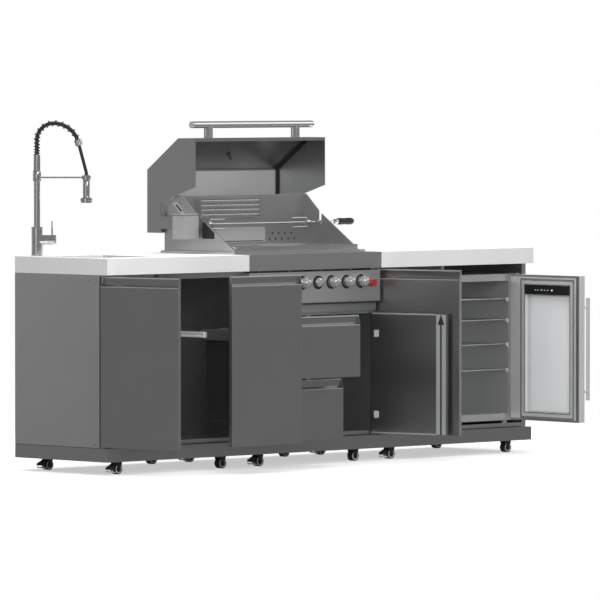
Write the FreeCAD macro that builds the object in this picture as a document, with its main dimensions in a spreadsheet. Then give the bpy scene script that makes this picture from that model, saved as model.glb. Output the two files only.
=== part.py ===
import FreeCAD, Part
import math
import os
import re

import Sketcher
from FreeCAD import Placement, Rotation, Vector

# Outdoor kitchen island: a sink cabinet, a grill cabinet and a fridge cabinet side by side on one plinth
# with casters. X runs along the front from the left end, Y runs to the back from the front of the
# worktops, and Z goes up from the underside of the plinth. Everything is in millimetres and degrees.
# The doors, drawers and hood stand open, which is the pose that every joint counts from.

DOC = FreeCAD.newDocument("KitchenIsland")
SHEET = DOC.addObject("Spreadsheet::Sheet", "Sizes")
PROBE = DOC.addObject("Part::Vertex", "Probe")

# Driving sizes, each written once
SIZES = {
    # carcass
    "sink_module_width": 826,
    "grill_module_width": 798,
    "fridge_module_width": 956,
    "island_depth": 575,
    "worktop_thickness": 69,
    "worktop_plate": 20,
    "worktop_rim": 18,
    "plinth_height": 58,
    "plinth_wall": 20,
    "plinth_floor": 8,
    "plinth_end_gap": 13,
    "cabinet_height": 726,
    "cabinet_setback": 48,
    "panel": 18,
    "post_width": 25,
    "fit_gap": 0.3,
    "running_fit": 0.05,
    "pin_end_gap": 1,
    "weld_overlap": 1,
    # fronts
    "front_thickness": 18,
    "front_gap": 3,
    "front_bottom": 62,
    "front_top_gap": 7,
    "front_reveal": 3,
    "seam_half": 4,
    "grill_door_seam": 7,
    "side_door_seam": 8,
    "fridge_seam": 4,
    "finger_height": 40,
    "finger_depth": 11,
    "pivot_inset": 6,
    "pivot_pin_radius": 3,
    "pivot_pin_depth": 24,
    "pivot_plate": 3,
    # sink cabinet
    "sink_door_width": 405,
    "sink_door_angle": 80,
    "waste_travel": 352,
    "waste_runner_drop": 20,
    "waste_frame_depth": 197,
    "waste_frame_top": 548,
    "waste_frame_height": 42,
    "bin_width": 345,
    "bin_depth": 168,
    "bin_bottom": 168,
    "bin_wall": 3,
    "bin_rim": 4,
    "bowl_left": 60,
    "bowl_front": 130,
    "bowl_width": 330,
    "bowl_length": 320,
    "bowl_depth": 180,
    "bowl_wall": 3,
    "bowl_flange": 15,
    "drain_radius": 25,
    "drain_wall": 3,
    "drain_length": 90,
    # tap
    "tap_across": 95,
    "tap_back": 540,
    "tap_angle": 44.4,
    "tap_base_radius": 24,
    "tap_base_height": 123,
    "tap_shank_radius": 14,
    "tap_shank_length": 50,
    "tap_riser_radius": 13,
    "tap_riser_height": 361,
    "tap_spigot_radius": 10,
    "tap_spigot_length": 36,
    "tap_collar_radius": 17,
    "tap_collar_height": 43,
    "tap_coil_radius": 14.5,
    "tap_coil_height": 68,
    "arch_spring_radius": 14,
    "arch_rise": 63,
    "arch_first_radius": 71,
    "arch_second_radius": 108.5,
    "arch_slope": 75.3,
    "arch_last_radius": 60,
    "arch_collar_radius": 16,
    "arch_collar_length": 14,
    "hose_radius": 7,
    "spray_radius": 15,
    "spray_height": 96,
    "nozzle_radius": 26,
    "nozzle_height": 19,
    "head_drop": 16,
    "nozzle_neck": 4,
    "holder_drop": 12,
    "holder_rod_radius": 3.5,
    "holder_ring_wall": 4,
    "holder_ring_height": 16,
    "barrel_radius": 21,
    "barrel_height": 68,
    "barrel_end": 52,
    "lever_end": 81,
    "lever_shaft_radius": 8,
    "lever_shaft_length": 22,
    "lever_pin_out": 64,
    "lever_pin_radius": 3.5,
    "lever_pin_height": 60,
    # grill
    "fascia_sheet": 4,
    "deck_drop": 187,
    "deck_thickness": 12,
    "control_face": 5,
    "control_foot_drop": 149,
    "control_top_gap": 9,
    "control_side_gap": 4,
    "control_sheet": 3,
    "knob_drop": 56,
    "knob_radius": 24,
    "knob_gap": 0.5,
    "knob_neck": 12,
    "knob_neck_radius": 9,
    "knob_stem_radius": 5,
    "knob_stem_length": 38,
    "stem_hole_gap": 1,
    "bezel_radius": 30,
    "bezel_width": 4,
    "bezel_proud": 3,
    "valve_radius": 13,
    "valve_front": 16,
    "rail_radius": 9,
    "rail_back": 72,
    "rail_wall": 1,
    "knob_one": 1145,
    "knob_two": 1320,
    "knob_three": 1412,
    "knob_four": 1499,
    "rear_knob_across": 1562,
    "rear_knob_radius": 17,
    "rear_core_radius": 13.6,
    "rear_lobe_offset": 11.9,
    "rear_knob_drop": 8,
    "rear_knob_length": 26,
    "igniter_across": 1240,
    "igniter_radius": 19,
    "igniter_proud": 22,
    "igniter_guide": 15,
    "firebox_inset": 27,
    "firebox_front": 112,
    "firebox_back": 440,
    "firebox_drop": 134,
    "firebox_sheet": 4,
    "plate_nose_rise": 167,
    "plate_peak_front": 438,
    "plate_peak_back": 484,
    "plate_peak_rise": 247,
    "plate_shoulder_back": 535,
    "plate_shoulder_rise": 192,
    "plate_heel_back": 560,
    "plate_heel_rise": 137,
    "rear_cover_rise": 87,
    "drip_slot_width": 300,
    "drip_slot_depth": 140,
    "burner_end_gap": 20,
    "grate_height": 24,
    "grate_ledge": 10,
    "grate_frame": 6,
    "grate_gap": 1,
    "rear_burner_edge": 6,
    "base_rim_height": 10,
    "base_rim_front": 95,
    "rear_cover_back": 556,
    "burner_drop": 53,
    "burner_radius": 15,
    "burner_count": 4,
    "grate_rise": 32,
    "grate_bar_radius": 4,
    "grate_bar_pitch": 16,
    "rear_burner_left": 937,
    "rear_burner_width": 361,
    "rear_burner_rise": 149,
    "rear_burner_height": 87,
    "rear_burner_proud": 22,
    "lamp_left": 1033,
    "lamp_width": 307,
    "lamp_rise": 37,
    "lamp_height": 72,
    "lamp_proud": 8,
    "tray_front_drop": 184,
    "tray_front_height": 32,
    "tray_front_sheet": 3,
    "tray_width": 650,
    "tray_depth": 440,
    "tray_height": 24,
    "tray_wall": 2,
    # hood
    "hood_width": 784,
    "hood_sheet": 3,
    "hood_lip": 14,
    "hood_pivot_back": 459.5,
    "hood_pivot_rise": 130.5,
    "hood_pin_radius": 8,
    "hood_pin_reach": 3.5,
    "hood_open_angle": 90,
    "hood_front": 95,
    "hood_bottom_rise": 13,
    "hood_brow_rise": 120,
    "hood_top_rise": 315,
    "hood_top_front": 232.5,
    "hood_back": 505,
    "hood_back_rise": 231,
    "hood_side_back_top": 370,
    "hood_side_back_foot": 304,
    "hood_arm_width": 53,
    "hood_arm_rise": 107,
    "handle_radius": 15,
    "handle_out": 58,
    "handle_drop": 54,
    "handle_length": 730,
    "handle_post_radius": 17,
    "handle_post_spacing": 524,
    "thermometer_radius": 34,
    "thermometer_depth": 14,
    "thermometer_stem_radius": 5,
    "thermometer_stem_length": 30,
    "thermometer_nut_radius": 12,
    # rotisserie
    "spit_back": 349,
    "spit_rise": 125,
    "spit_radius": 4,
    "spit_bush_radius": 7.7,
    "spit_bush_length": 14,
    "spit_handle_start": 1680,
    "spit_handle_end": 1795,
    "spit_handle_radius": 15,
    "fork_hub_radius": 12,
    "fork_hub_length": 22,
    "fork_spread": 20,
    "fork_prong_radius": 2.5,
    "fork_prong_length": 90,
    "fork_left": 912,
    "fork_right": 1526,
    "notch_width": 16,
    "motor_width": 90,
    "motor_depth": 68,
    "motor_height": 108,
    "motor_rise": 64,
    "motor_hood_gap": 6,
    "motor_socket_depth": 36,
    "motor_bracket_clearance": 1.3,
    "motor_bracket_height": 56,
    # drawers
    "drawer_front_width": 392,
    "tray_front_gap": 5,
    "drawer_front_gap": 12,
    "lower_front_share": 0.4952,
    "upper_travel": 300,
    "lower_travel": 197,
    "drawer_depth": 450,
    "drawer_wall": 12,
    "drawer_box_height": 160,
    "drawer_box_lift": 20,
    "runner_width": 12,
    "runner_web": 2,
    "runner_flange": 3,
    "runner_bar_height": 23,
    "runner_length": 500,
    "runner_setback": 2,
    "waste_bar_length": 290,
    "waste_bar_overlap": 30,
    # doors of the grill and fridge cabinets
    "grill_door_width": 388,
    "grill_door_gap": 10,
    "grill_door_angle": 101.5,
    "side_door_width": 426,
    "side_door_angle": 77,
    "fridge_door_angle": 87,
    # fridge
    "fridge_width": 438,
    "fridge_depth": 450,
    "fridge_bottom": 89,
    "fridge_top_gap": 46,
    "fridge_wall": 30,
    "fridge_foot_radius": 15,
    "shelf_one_drop": 112,
    "shelf_two_drop": 205,
    "shelf_three_drop": 313,
    "shelf_four_drop": 426,
    "shelf_wire_radius": 2.5,
    "shelf_wire_count": 9,
    "shelf_ledge": 8,
    "rack_side_gap": 1,
    "rack_bar_inset": 6,
    "rack_end_inset": 4,
    "rack_wire_inset": 2,
    "fridge_door_thickness": 34,
    "fridge_door_clearance": 3,
    "fridge_pin_inset": 9,
    "fridge_pin_radius": 4,
    "glass_hinge_margin": 92,
    "glass_free_margin": 60,
    "glass_foot_rise": 42,
    "glass_top_drop": 88,
    "glass_thickness": 8,
    "glass_rebate": 5,
    "glass_front": 6,
    "bar_handle_radius": 9,
    "bar_handle_out": 45,
    "bar_handle_inset": 26,
    "bar_handle_rise": 100,
    "bar_handle_drop": 99,
    "bar_post_radius": 6,
    "bar_post_inset": 39,
    # casters
    "caster_height": 55,
    "caster_inset": 105,
    "caster_front": 70,
    "caster_rear": 500,
    "caster_trail": 12,
    "caster_plate": 40,
    "fork_leg": 6,
    "wheel_radius": 22,
    "wheel_width": 30,
    "axle_radius": 3,
    "fork_sheet": 3,
    "fork_plate": 4,
    "swivel_stem_radius": 5,
    "swivel_stem_length": 7,
}

# Places worked out from the sizes, as text that the formulas below take in
PLACES = {
    "island_length": "sink_module_width + grill_module_width + fridge_module_width",
    "grill_left": "sink_module_width",
    "grill_right": "sink_module_width + grill_module_width",
    "cabinet_top": "plinth_height + cabinet_height",
    "worktop_top": "cabinet_top + worktop_thickness",
    "front_top": "cabinet_top - front_top_gap",
    "deck_top": "cabinet_top - deck_drop",
    "control_bottom": "cabinet_top - control_foot_drop",
    "control_top": "cabinet_top - control_top_gap",
    "knob_height": "cabinet_top - knob_drop",
    "rear_knob_height": "knob_height - rear_knob_drop",
    "firebox_bottom": "cabinet_top - firebox_drop",
    "plate_nose_height": "worktop_top + plate_nose_rise",
    "plate_peak_height": "worktop_top + plate_peak_rise",
    "plate_shoulder_height": "worktop_top + plate_shoulder_rise",
    "plate_heel_height": "worktop_top + plate_heel_rise",
    "rear_cover_top": "worktop_top + rear_cover_rise",
    "burner_height": "worktop_top - burner_drop",
    "grate_top": "worktop_top + grate_rise",
    "rear_burner_bottom": "worktop_top + rear_burner_rise",
    "lamp_bottom": "worktop_top + lamp_rise",
    "tray_front_bottom": "cabinet_top - tray_front_drop",
    "hood_pivot_height": "worktop_top + hood_pivot_rise",
    "hood_bottom": "worktop_top + hood_bottom_rise",
    "hood_brow": "worktop_top + hood_brow_rise",
    "hood_top": "worktop_top + hood_top_rise",
    "hood_back_bottom": "worktop_top + hood_back_rise",
    "hood_arm_foot": "worktop_top + hood_arm_rise",
    "spit_height": "worktop_top + spit_rise",
    "motor_bottom": "worktop_top + motor_rise",
    "grill_door_top": "tray_front_bottom - grill_door_gap",
    "fridge_top": "cabinet_top - fridge_top_gap",
    "waste_frame_foot": "waste_frame_top - waste_frame_height",
    "waste_runner_height": "waste_frame_top - waste_runner_drop",
    "shelf_one": "fridge_top - shelf_one_drop",
    "shelf_two": "fridge_top - shelf_two_drop",
    "shelf_three": "fridge_top - shelf_three_drop",
    "shelf_four": "fridge_top - shelf_four_drop",
    "glass_top": "fridge_top - glass_top_drop",
    "glass_bottom": "fridge_bottom + glass_foot_rise",
    "bar_handle_top": "fridge_top - bar_handle_drop",
    "bar_handle_bottom": "fridge_bottom + bar_handle_rise",
    "upper_front_top": "tray_front_bottom - tray_front_gap",
    "lower_front_height": "(upper_front_top - front_bottom - drawer_front_gap) * lower_front_share",
    "upper_front_bottom": "front_bottom + lower_front_height + drawer_front_gap",
    "upper_front_height": "upper_front_top - upper_front_bottom",
    "front_back": "cabinet_setback - front_gap",
    "front_face": "front_back - front_thickness",
    "pivot_line": "front_back - front_thickness / 2",
    "waste_left": "front_reveal + sink_door_width + front_reveal",
    "waste_right": "sink_module_width - seam_half",
    "waste_partition": "front_reveal + sink_door_width + front_reveal / 2 - panel / 2",
    "drawer_left": "grill_left + seam_half",
    "drawer_right": "drawer_left + drawer_front_width",
    "grill_door_right": "grill_right - grill_door_seam",
    "grill_door_left": "grill_door_right - grill_door_width",
    "grill_partition": "(drawer_right + grill_door_left) / 2 - panel / 2",
    "side_door_left": "grill_right + side_door_seam",
    "fridge_left": "side_door_left + side_door_width + fridge_seam",
    "fridge_right": "fridge_left + fridge_width",
    "fridge_pivot_across": "fridge_right - fridge_pin_inset",
    "fridge_door_back": "cabinet_setback - fridge_door_clearance",
    "fridge_door_face": "fridge_door_back - fridge_door_thickness",
    "fridge_pivot_line": "fridge_door_face + fridge_pin_inset",
    "fire_left": "grill_left + firebox_inset",
    "fire_right": "grill_right - firebox_inset",
    "fire_rim": "worktop_top + base_rim_height",
    "grill_middle": "(grill_left + grill_right) / 2",
    "hood_left": "grill_middle - hood_width / 2",
    "hood_right": "grill_middle + hood_width / 2",
    "motor_right": "hood_left - motor_hood_gap",
    "tray_middle": "front_face + tray_front_sheet + tray_depth / 2",
    "tap_top": "worktop_top + tap_riser_height",
    "head_top": "tap_top - head_drop",
    "arch_end_height": "tap_top + tap_coil_height + arch_rise + arch_first_radius"
                       " - arch_second_radius * (1 - cos(arch_slope * 1 deg))",
    "arch_end_across": "arch_first_radius + arch_second_radius * sin(arch_slope * 1 deg)",
    "head_reach": "arch_end_across + arch_last_radius * (1 - sin(arch_slope * 1 deg))"
                  " + (arch_end_height - head_top - arch_last_radius * cos(arch_slope * 1 deg))"
                  " / tan(arch_slope * 1 deg)",
}


def fill_sheet():
    """Writes every size to the sheet as a plain number, with its name as the alias."""
    for row, (name, number) in enumerate(SIZES.items(), start=1):
        SHEET.set(f"A{row}", name)
        SHEET.set(f"B{row}", str(number))
        SHEET.setAlias(f"B{row}", name)
    DOC.recompute()


def formula(text):
    """Turns names of sizes and places into cell references."""
    def swap(match):
        word = match.group()
        if word in PLACES:
            return "(" + formula(PLACES[word]) + ")"
        return "Sizes." + word if word in SIZES else word
    return re.sub(r"[A-Za-z_]\w*", swap, str(text))


def bind(feature, path, text):
    """Binds one property to a formula."""
    feature.setExpression(path, formula(text))


def number(text):
    """Gives the value of a formula, read from the probe."""
    bind(PROBE, "X", text)
    PROBE.recompute()
    return PROBE.X.Value


def block(name, across, back, up):
    """Adds a box between two places on each axis."""
    feature = DOC.addObject("Part::Box", name)
    spans = (("Length", "x", across), ("Width", "y", back), ("Height", "z", up))
    for side, axis, (start, end) in spans:
        bind(feature, side, f"({end}) - ({start})")
        bind(feature, f".Placement.Base.{axis}", start)
    return feature


TURNS = {
    "x": Rotation(Vector(0, 0, 1), Vector(1, 0, 0)),
    "y": Rotation(Vector(0, 0, 1), Vector(0, 1, 0)),
    "z": Rotation(),
}


def rod(name, axis, centre, ends, radius):
    """Adds a cylinder along an axis; centre holds the other two coordinates in X, Y, Z order."""
    feature = DOC.addObject("Part::Cylinder", name)
    feature.Placement = Placement(Vector(), TURNS[axis])
    bind(feature, "Radius", radius)
    bind(feature, "Height", f"({ends[1]}) - ({ends[0]})")
    others = [letter for letter in "xyz" if letter != axis]
    for letter, text in zip(others, centre):
        bind(feature, f".Placement.Base.{letter}", text)
    bind(feature, f".Placement.Base.{axis}", ends[0])
    return feature


def ball(name, centre, radius):
    """Adds a sphere."""
    feature = DOC.addObject("Part::Sphere", name)
    bind(feature, "Radius", radius)
    for letter, text in zip("xyz", centre):
        bind(feature, f".Placement.Base.{letter}", text)
    return feature


def fuse(name, *features):
    """Joins features into one solid."""
    joined = DOC.addObject("Part::MultiFuse", name)
    joined.Shapes = list(features)
    joined.Refine = True
    return joined


def cut(name, base, *tools):
    """Takes the tools away from the base."""
    result = DOC.addObject("Part::Cut", name)
    result.Base = base
    result.Tool = tools[0] if len(tools) == 1 else fuse(name + "_tools", *tools)
    return result


def outline(name, plane, points, start, depth):
    """Pads a closed outline, with both coordinates of every corner driven, from start over depth.

    The plane is "XZ" for an outline seen from the front or "YZ" for one seen from the side.
    """
    body = DOC.addObject("PartDesign::Body", name + "_body")
    role = plane + "_Plane"
    base = next(item for item in body.Origin.OriginFeatures if item.Role == role)
    sketch = body.newObject("Sketcher::SketchObject", name + "_sketch")
    sketch.AttachmentSupport = [(base, "")]
    sketch.MapMode = "FlatFace"
    guess = [Vector(*(number(text) for text in point), 0) for point in points]
    for index, corner in enumerate(guess):
        sketch.addGeometry(Part.LineSegment(corner, guess[(index + 1) % len(guess)]))
    for index in range(len(guess)):
        sketch.addConstraint(Sketcher.Constraint("Coincident", index, 2, (index + 1) % len(guess), 1))
    for index, point in enumerate(points):
        for kind, text in zip(("DistanceX", "DistanceY"), point):
            row = sketch.addConstraint(Sketcher.Constraint(kind, -1, 1, index, 1, number(text)))
            bind(sketch, f"Constraints[{row}]", text)
    pad = body.newObject("PartDesign::Pad", name + "_pad")
    pad.Profile = sketch
    bind(pad, "Length", depth)
    pad.Reversed = plane == "XZ"
    body.Tip = pad
    sketch.Visibility = False
    letter = "y" if plane == "XZ" else "x"
    bind(body, f".Placement.Base.{letter}", start)
    return body


def tube(name, axis, centre, ends, outer, inner):
    """Adds a tube."""
    return cut(name, rod(name + "_outer", axis, centre, ends, outer),
               rod(name + "_inner", axis, centre, ends, inner))


NODES = {}


def node(label, *features, turn=None):
    """Makes a sub-part of its features. The turn, a Placement, takes it from closed to its rest pose."""
    feature = DOC.addObject("Part::Compound", "node_" + label)
    feature.Label = label
    feature.Links = list(features)
    NODES[label] = (feature, turn or Placement())
    return feature


def plinth():
    """The tray that the cabinets stand on, with a bore for each swivel caster."""
    tray = block("plinth_block", (0, "island_length - plinth_end_gap"), (0, "island_depth"),
                 (0, "plinth_height"))
    walls = (("0", "grill_left"), ("grill_left", "grill_right"),
             ("grill_right", "island_length - plinth_end_gap"))
    tools = []
    for index, (left, right) in enumerate(walls):
        inside = (f"{left} + plinth_wall", f"{right} - plinth_wall")
        depth = ("plinth_wall", "island_depth - plinth_wall")
        tools.append(block(f"plinth_bay_{index}", inside, depth, ("plinth_floor", "plinth_height")))
    for label, across, back, swivel in CASTERS:
        if swivel:
            tools.append(rod(f"plinth_bore_{label}", "z", (across, back), (0, "plinth_floor"),
                             "swivel_stem_radius + running_fit"))
    node("plinth", cut("plinth_tray", tray, *tools))


def shell(name, left, right, front, foot, top, side="panel", last_side="panel"):
    """A cabinet body open at its front and top."""
    outside = block(name + "_block", (left, right), (front, "island_depth"), (foot, top))
    inside = block(name + "_inside", (f"{left} + {side}", f"{right} - {last_side}"),
                   (front, "island_depth - panel"), (f"{foot} + panel", top))
    return cut(name + "_shell", outside, inside)


def runner_channels(name, left, right, height, length):
    """A pair of C-shaped channels on two facing walls."""
    pieces = []
    spans = ((left, f"{left} + runner_width", f"{left} + runner_web", f"{left} + runner_width"),
             (f"{right} - runner_width", right, f"{right} - runner_width", f"{right} - runner_web"))
    half = "(runner_bar_height / 2 + fit_gap)"
    depth = ("cabinet_setback + runner_setback", "cabinet_setback + runner_setback + " + length)
    for index, (start, end, hollow_start, hollow_end) in enumerate(spans):
        body = block(f"{name}_channel_{index}", (start, end), depth,
                     (f"{height} - {half} - runner_flange", f"{height} + {half} + runner_flange"))
        hollow = block(f"{name}_hollow_{index}", (hollow_start, hollow_end), depth,
                       (f"{height} - {half}", f"{height} + {half}"))
        pieces.append(cut(f"{name}_runner_{index}", body, hollow))
    return pieces


def runner_bars(name, left, right, height, front, length):
    """The pair of bars on a drawer that slide in the channels."""
    depth = (front, f"{front} + {length}")
    rise = (f"{height} - runner_bar_height / 2", f"{height} + runner_bar_height / 2")
    reach = "runner_width + 2 * fit_gap"
    first = block(name + "_bar_left", (f"{left} + runner_web + fit_gap", f"{left} + {reach}"), depth, rise)
    second = block(name + "_bar_right", (f"{right} - {reach}", f"{right} - runner_web - fit_gap"), depth,
                   rise)
    return first, second


def sink_cabinet():
    """The left cabinet with the partition between the sink and the waste pull-out."""
    body = shell("sink", "0", "grill_left", "cabinet_setback", "plinth_height", "cabinet_top")
    wall = block("sink_partition", ("waste_partition", "waste_partition + panel"),
                 ("cabinet_setback", "island_depth - panel"), ("plinth_height + panel", "cabinet_top"))
    rail = block("sink_rail", ("waste_partition + panel", "grill_left - panel"),
                 ("cabinet_setback", "cabinet_setback + panel"), ("front_top - panel", "cabinet_top"))
    runners = runner_channels("waste", "waste_partition + panel", "grill_left - panel",
                              "waste_runner_height",
                              "runner_length")
    node("sink_cabinet", fuse("sink_carcass", body, wall, rail, *runners))


def grill_cabinet():
    """The middle cabinet, with the deck under the grill and the partition beside the drawers."""
    body = shell("grill", "grill_left", "grill_right", "cabinet_setback", "plinth_height", "cabinet_top")
    deck = block("grill_deck", ("grill_left + panel", "grill_right - panel"),
                 ("cabinet_setback", "island_depth - panel"), ("deck_top - deck_thickness", "deck_top"))
    wall = block("grill_wall", ("grill_partition", "grill_partition + panel"),
                 ("cabinet_setback", "island_depth - panel"), ("plinth_height + panel", "deck_top"))
    pairs = (("upper", UPPER_RUNNER), ("lower", LOWER_RUNNER))
    runners = [item for name, height in pairs
               for item in runner_channels(name, "grill_left + panel", "grill_partition", height,
                                           "runner_length")]
    node("grill_cabinet", fuse("grill_carcass", body, deck, wall, *runners))


def fridge_cabinet():
    """The right cabinet, with the partition beside the fridge and the wide right post."""
    body = shell("cold", "grill_right", "island_length", "cabinet_setback", "plinth_height", "cabinet_top",
                 last_side="post_width")
    wall = block("cold_partition", ("fridge_left - panel", "fridge_left"),
                 ("cabinet_setback", "island_depth - panel"), ("plinth_height + panel", "cabinet_top"))
    node("fridge_cabinet", fuse("cold_carcass", body, wall))


def worktop(label, left, right, *cutters):
    """A slab with a thick edge, hollow underneath."""
    corners = ((left, "cabinet_top"), (right, "cabinet_top"), (right, "worktop_top"), (left, "worktop_top"))
    slab = outline(label, "XZ", corners, 0, "island_depth")
    hollow = block(label + "_hollow", (f"{left} + worktop_rim", f"{right} - worktop_rim"),
                   ("worktop_rim", "island_depth - worktop_rim"),
                   ("cabinet_top", "worktop_top - worktop_plate"))
    node(label, cut(label + "_slab", slab, hollow, *cutters))


def worktops():
    """The two worktops; the left one has the sink opening and the tap hole."""
    reveal = "bowl_wall"
    opening = block("sink_opening", (f"bowl_left + {reveal}", f"bowl_left + bowl_width - {reveal}"),
                    (f"bowl_front + {reveal}", f"bowl_front + bowl_length - {reveal}"),
                    ("cabinet_top", "worktop_top"))
    tap_hole = rod("tap_hole", "z", ("tap_across", "tap_back"), ("cabinet_top", "worktop_top"),
                   "tap_shank_radius + fit_gap")
    worktop("sink_worktop", "0", "grill_left", opening, tap_hole)
    worktop("fridge_worktop", "grill_right", "island_length")


def grill_fascia():
    """The metal frame between the worktops that the firebox hangs in."""
    frame = block("fascia_block", ("grill_left", "grill_right"), (0, "island_depth"),
                  ("cabinet_top", "worktop_top"))
    hollow = block("fascia_hollow", ("grill_left + fascia_sheet", "grill_right - fascia_sheet"),
                   ("fascia_sheet", "island_depth - fascia_sheet"),
                   ("cabinet_top", "worktop_top - fascia_sheet"))
    opening = block("fascia_opening", ("fire_left - fascia_sheet", "fire_right + fascia_sheet"),
                    ("firebox_front - fascia_sheet", "firebox_back + 2 * fascia_sheet"),
                    ("cabinet_top", "worktop_top"))
    node("grill_fascia", cut("fascia_frame", frame, hollow, opening))


def sink_bowl():
    """The bowl under the worktop, with its drain tail."""
    right = "bowl_left + bowl_width"
    back = "bowl_front + bowl_length"
    brim = "worktop_top - worktop_plate"
    bottom = f"{brim} - bowl_depth"
    outside = block("bowl_outside", ("bowl_left - bowl_wall", f"{right} + bowl_wall"),
                    ("bowl_front - bowl_wall", f"{back} + bowl_wall"), (f"{bottom} - bowl_wall", brim))
    flange = block("bowl_brim", ("bowl_left - bowl_flange", f"{right} + bowl_flange"),
                   ("bowl_front - bowl_flange", f"{back} + bowl_flange"), (f"{brim} - bowl_wall", brim))
    middle = ("bowl_left + bowl_width / 2", "bowl_front + bowl_length / 2")
    tail = rod("drain_outside", "z", middle, (f"{bottom} - drain_length", bottom), "drain_radius")
    inside = block("bowl_inside", ("bowl_left", right), ("bowl_front", back), (bottom, brim))
    bore = rod("drain_bore", "z", middle, (f"{bottom} - drain_length", bottom), "drain_radius - drain_wall")
    node("sink_bowl", cut("bowl", fuse("bowl_solid", outside, flange, tail), inside, bore))


def front_panel(name, left, right, foot, top, *bores):
    """A front with the finger channel along its top edge, seen from the side as one outline."""
    profile = (("front_face", foot), ("front_back", foot), ("front_back", top),
               ("front_face + finger_depth", top), ("front_face", f"{top} - finger_height"))
    panel = outline(name, "YZ", profile, left, f"({right}) - ({left})")
    return cut(name + "_bored", panel, *bores) if bores else panel


def pivot_bores(name, across, line, foot, top, radius="pivot_pin_radius"):
    """The two blind bores of a door that its hinge pins sit in."""
    size = f"{radius} + running_fit"
    low = rod(name + "_low", "z", (across, line), (foot, f"{foot} + pivot_pin_depth + pin_end_gap"), size)
    high = rod(name + "_high", "z", (across, line), (f"{top} - pivot_pin_depth - pin_end_gap", top), size)
    return low, high


def swing(across, line, angle):
    """The turn of a door about its hinge line."""
    centre = Vector(number(across), number(line), 0)
    return Placement(Vector(), Rotation(Vector(0, 0, 1), number(angle)), centre)


def pull(travel):
    """The travel of a drawer to the front."""
    return Placement(Vector(0, -number(travel), 0), Rotation())


def side_hung_doors():
    """The sink door and the slim door beside the fridge, hung at their left edges."""
    doors = (("sink_door", "front_reveal", "sink_door_width", "sink_door_angle"),
             ("fridge_side_door", "side_door_left", "side_door_width", "side_door_angle"))
    for label, left, width, angle in doors:
        pivot = f"{left} + pivot_inset"
        bores = pivot_bores(label, pivot, "pivot_line", "front_bottom", "front_top")
        panel = front_panel(label, left, f"{left} + {width}", "front_bottom", "front_top", *bores)
        node(label, panel, turn=swing(pivot, "pivot_line", f"-{angle}"))


def grill_door():
    """The door of the gas-bottle compartment, with its upright finger channel at the free edge."""
    pivot = "grill_door_right - pivot_inset"
    slab = block("grill_door_slab", ("grill_door_left", "grill_door_right"), ("front_face", "front_back"),
                 ("front_bottom", "grill_door_top"))
    channel = block("grill_door_channel",
                    ("grill_door_left + finger_depth", "grill_door_left + finger_height"),
                    ("front_face", "front_face + finger_depth"),
                    ("front_bottom + finger_height", "grill_door_top - finger_height"))
    bores = pivot_bores("grill_door", pivot, "pivot_line", "front_bottom", "grill_door_top")
    node("grill_door", cut("grill_door_panel", slab, channel, *bores),
         turn=swing(pivot, "pivot_line", "grill_door_angle"))


def hinge_pins():
    """The plates and pins that the three cabinet doors turn on."""
    doors = (("sink", "front_reveal + pivot_inset", "front_top"),
             ("side", "side_door_left + pivot_inset", "front_top"),
             ("gas", "grill_door_right - pivot_inset", "grill_door_top"))
    pieces = []
    for name, across, top in doors:
        wide = (f"{across} - pivot_inset", f"{across} + pivot_inset")
        deep = ("pivot_line - pivot_inset", "cabinet_setback")
        low = block(name + "_low_plate", wide, deep, ("plinth_height", "plinth_height + pivot_plate"))
        low_pin = rod(name + "_low_pin", "z", (across, "pivot_line"),
                      ("plinth_height", "front_bottom + pivot_pin_depth"), "pivot_pin_radius")
        high = block(name + "_high_plate", wide, deep,
                     (f"{top} + pin_end_gap", f"{top} + pin_end_gap + pivot_plate"))
        high_pin = rod(name + "_high_pin", "z", (across, "pivot_line"),
                       (f"{top} - pivot_pin_depth", f"{top} + pin_end_gap + pivot_plate"),
                       "pivot_pin_radius")
        pieces += [fuse(name + "_low_pivot", low, low_pin), fuse(name + "_high_pivot", high, high_pin)]
    node("hinge_pins", *pieces)


def drawer(label, foot, top, runner_height, travel):
    """A drawer with its front, box and runner bars."""
    front = front_panel(label, "drawer_left", "drawer_right", foot, top)
    left = "grill_left + panel + runner_width + 2 * fit_gap"
    right = "grill_partition - runner_width - 2 * fit_gap"
    bottom = f"{foot} + drawer_box_lift"
    depth = ("front_back", "front_back + drawer_depth")
    box = block(label + "_box", (left, right), depth, (bottom, f"{bottom} + drawer_box_height"))
    inside = block(label + "_inside", (f"{left} + drawer_wall", f"{right} - drawer_wall"),
                   ("front_back", "front_back + drawer_depth - drawer_wall"),
                   (f"{bottom} + drawer_wall", f"{bottom} + drawer_box_height"))
    bars = runner_bars(label, "grill_left + panel", "grill_partition", runner_height, "front_back",
                       "drawer_depth")
    node(label, fuse(label + "_solid", front, cut(label + "_tray", box, inside), *bars), turn=pull(travel))


def drawers():
    """The two drawers beside the gas-bottle door."""
    drawer("upper_drawer", "upper_front_bottom", "upper_front_bottom + upper_front_height", UPPER_RUNNER,
           "upper_travel")
    drawer("lower_drawer", "front_bottom", "front_bottom + lower_front_height", LOWER_RUNNER,
           "lower_travel")


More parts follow.
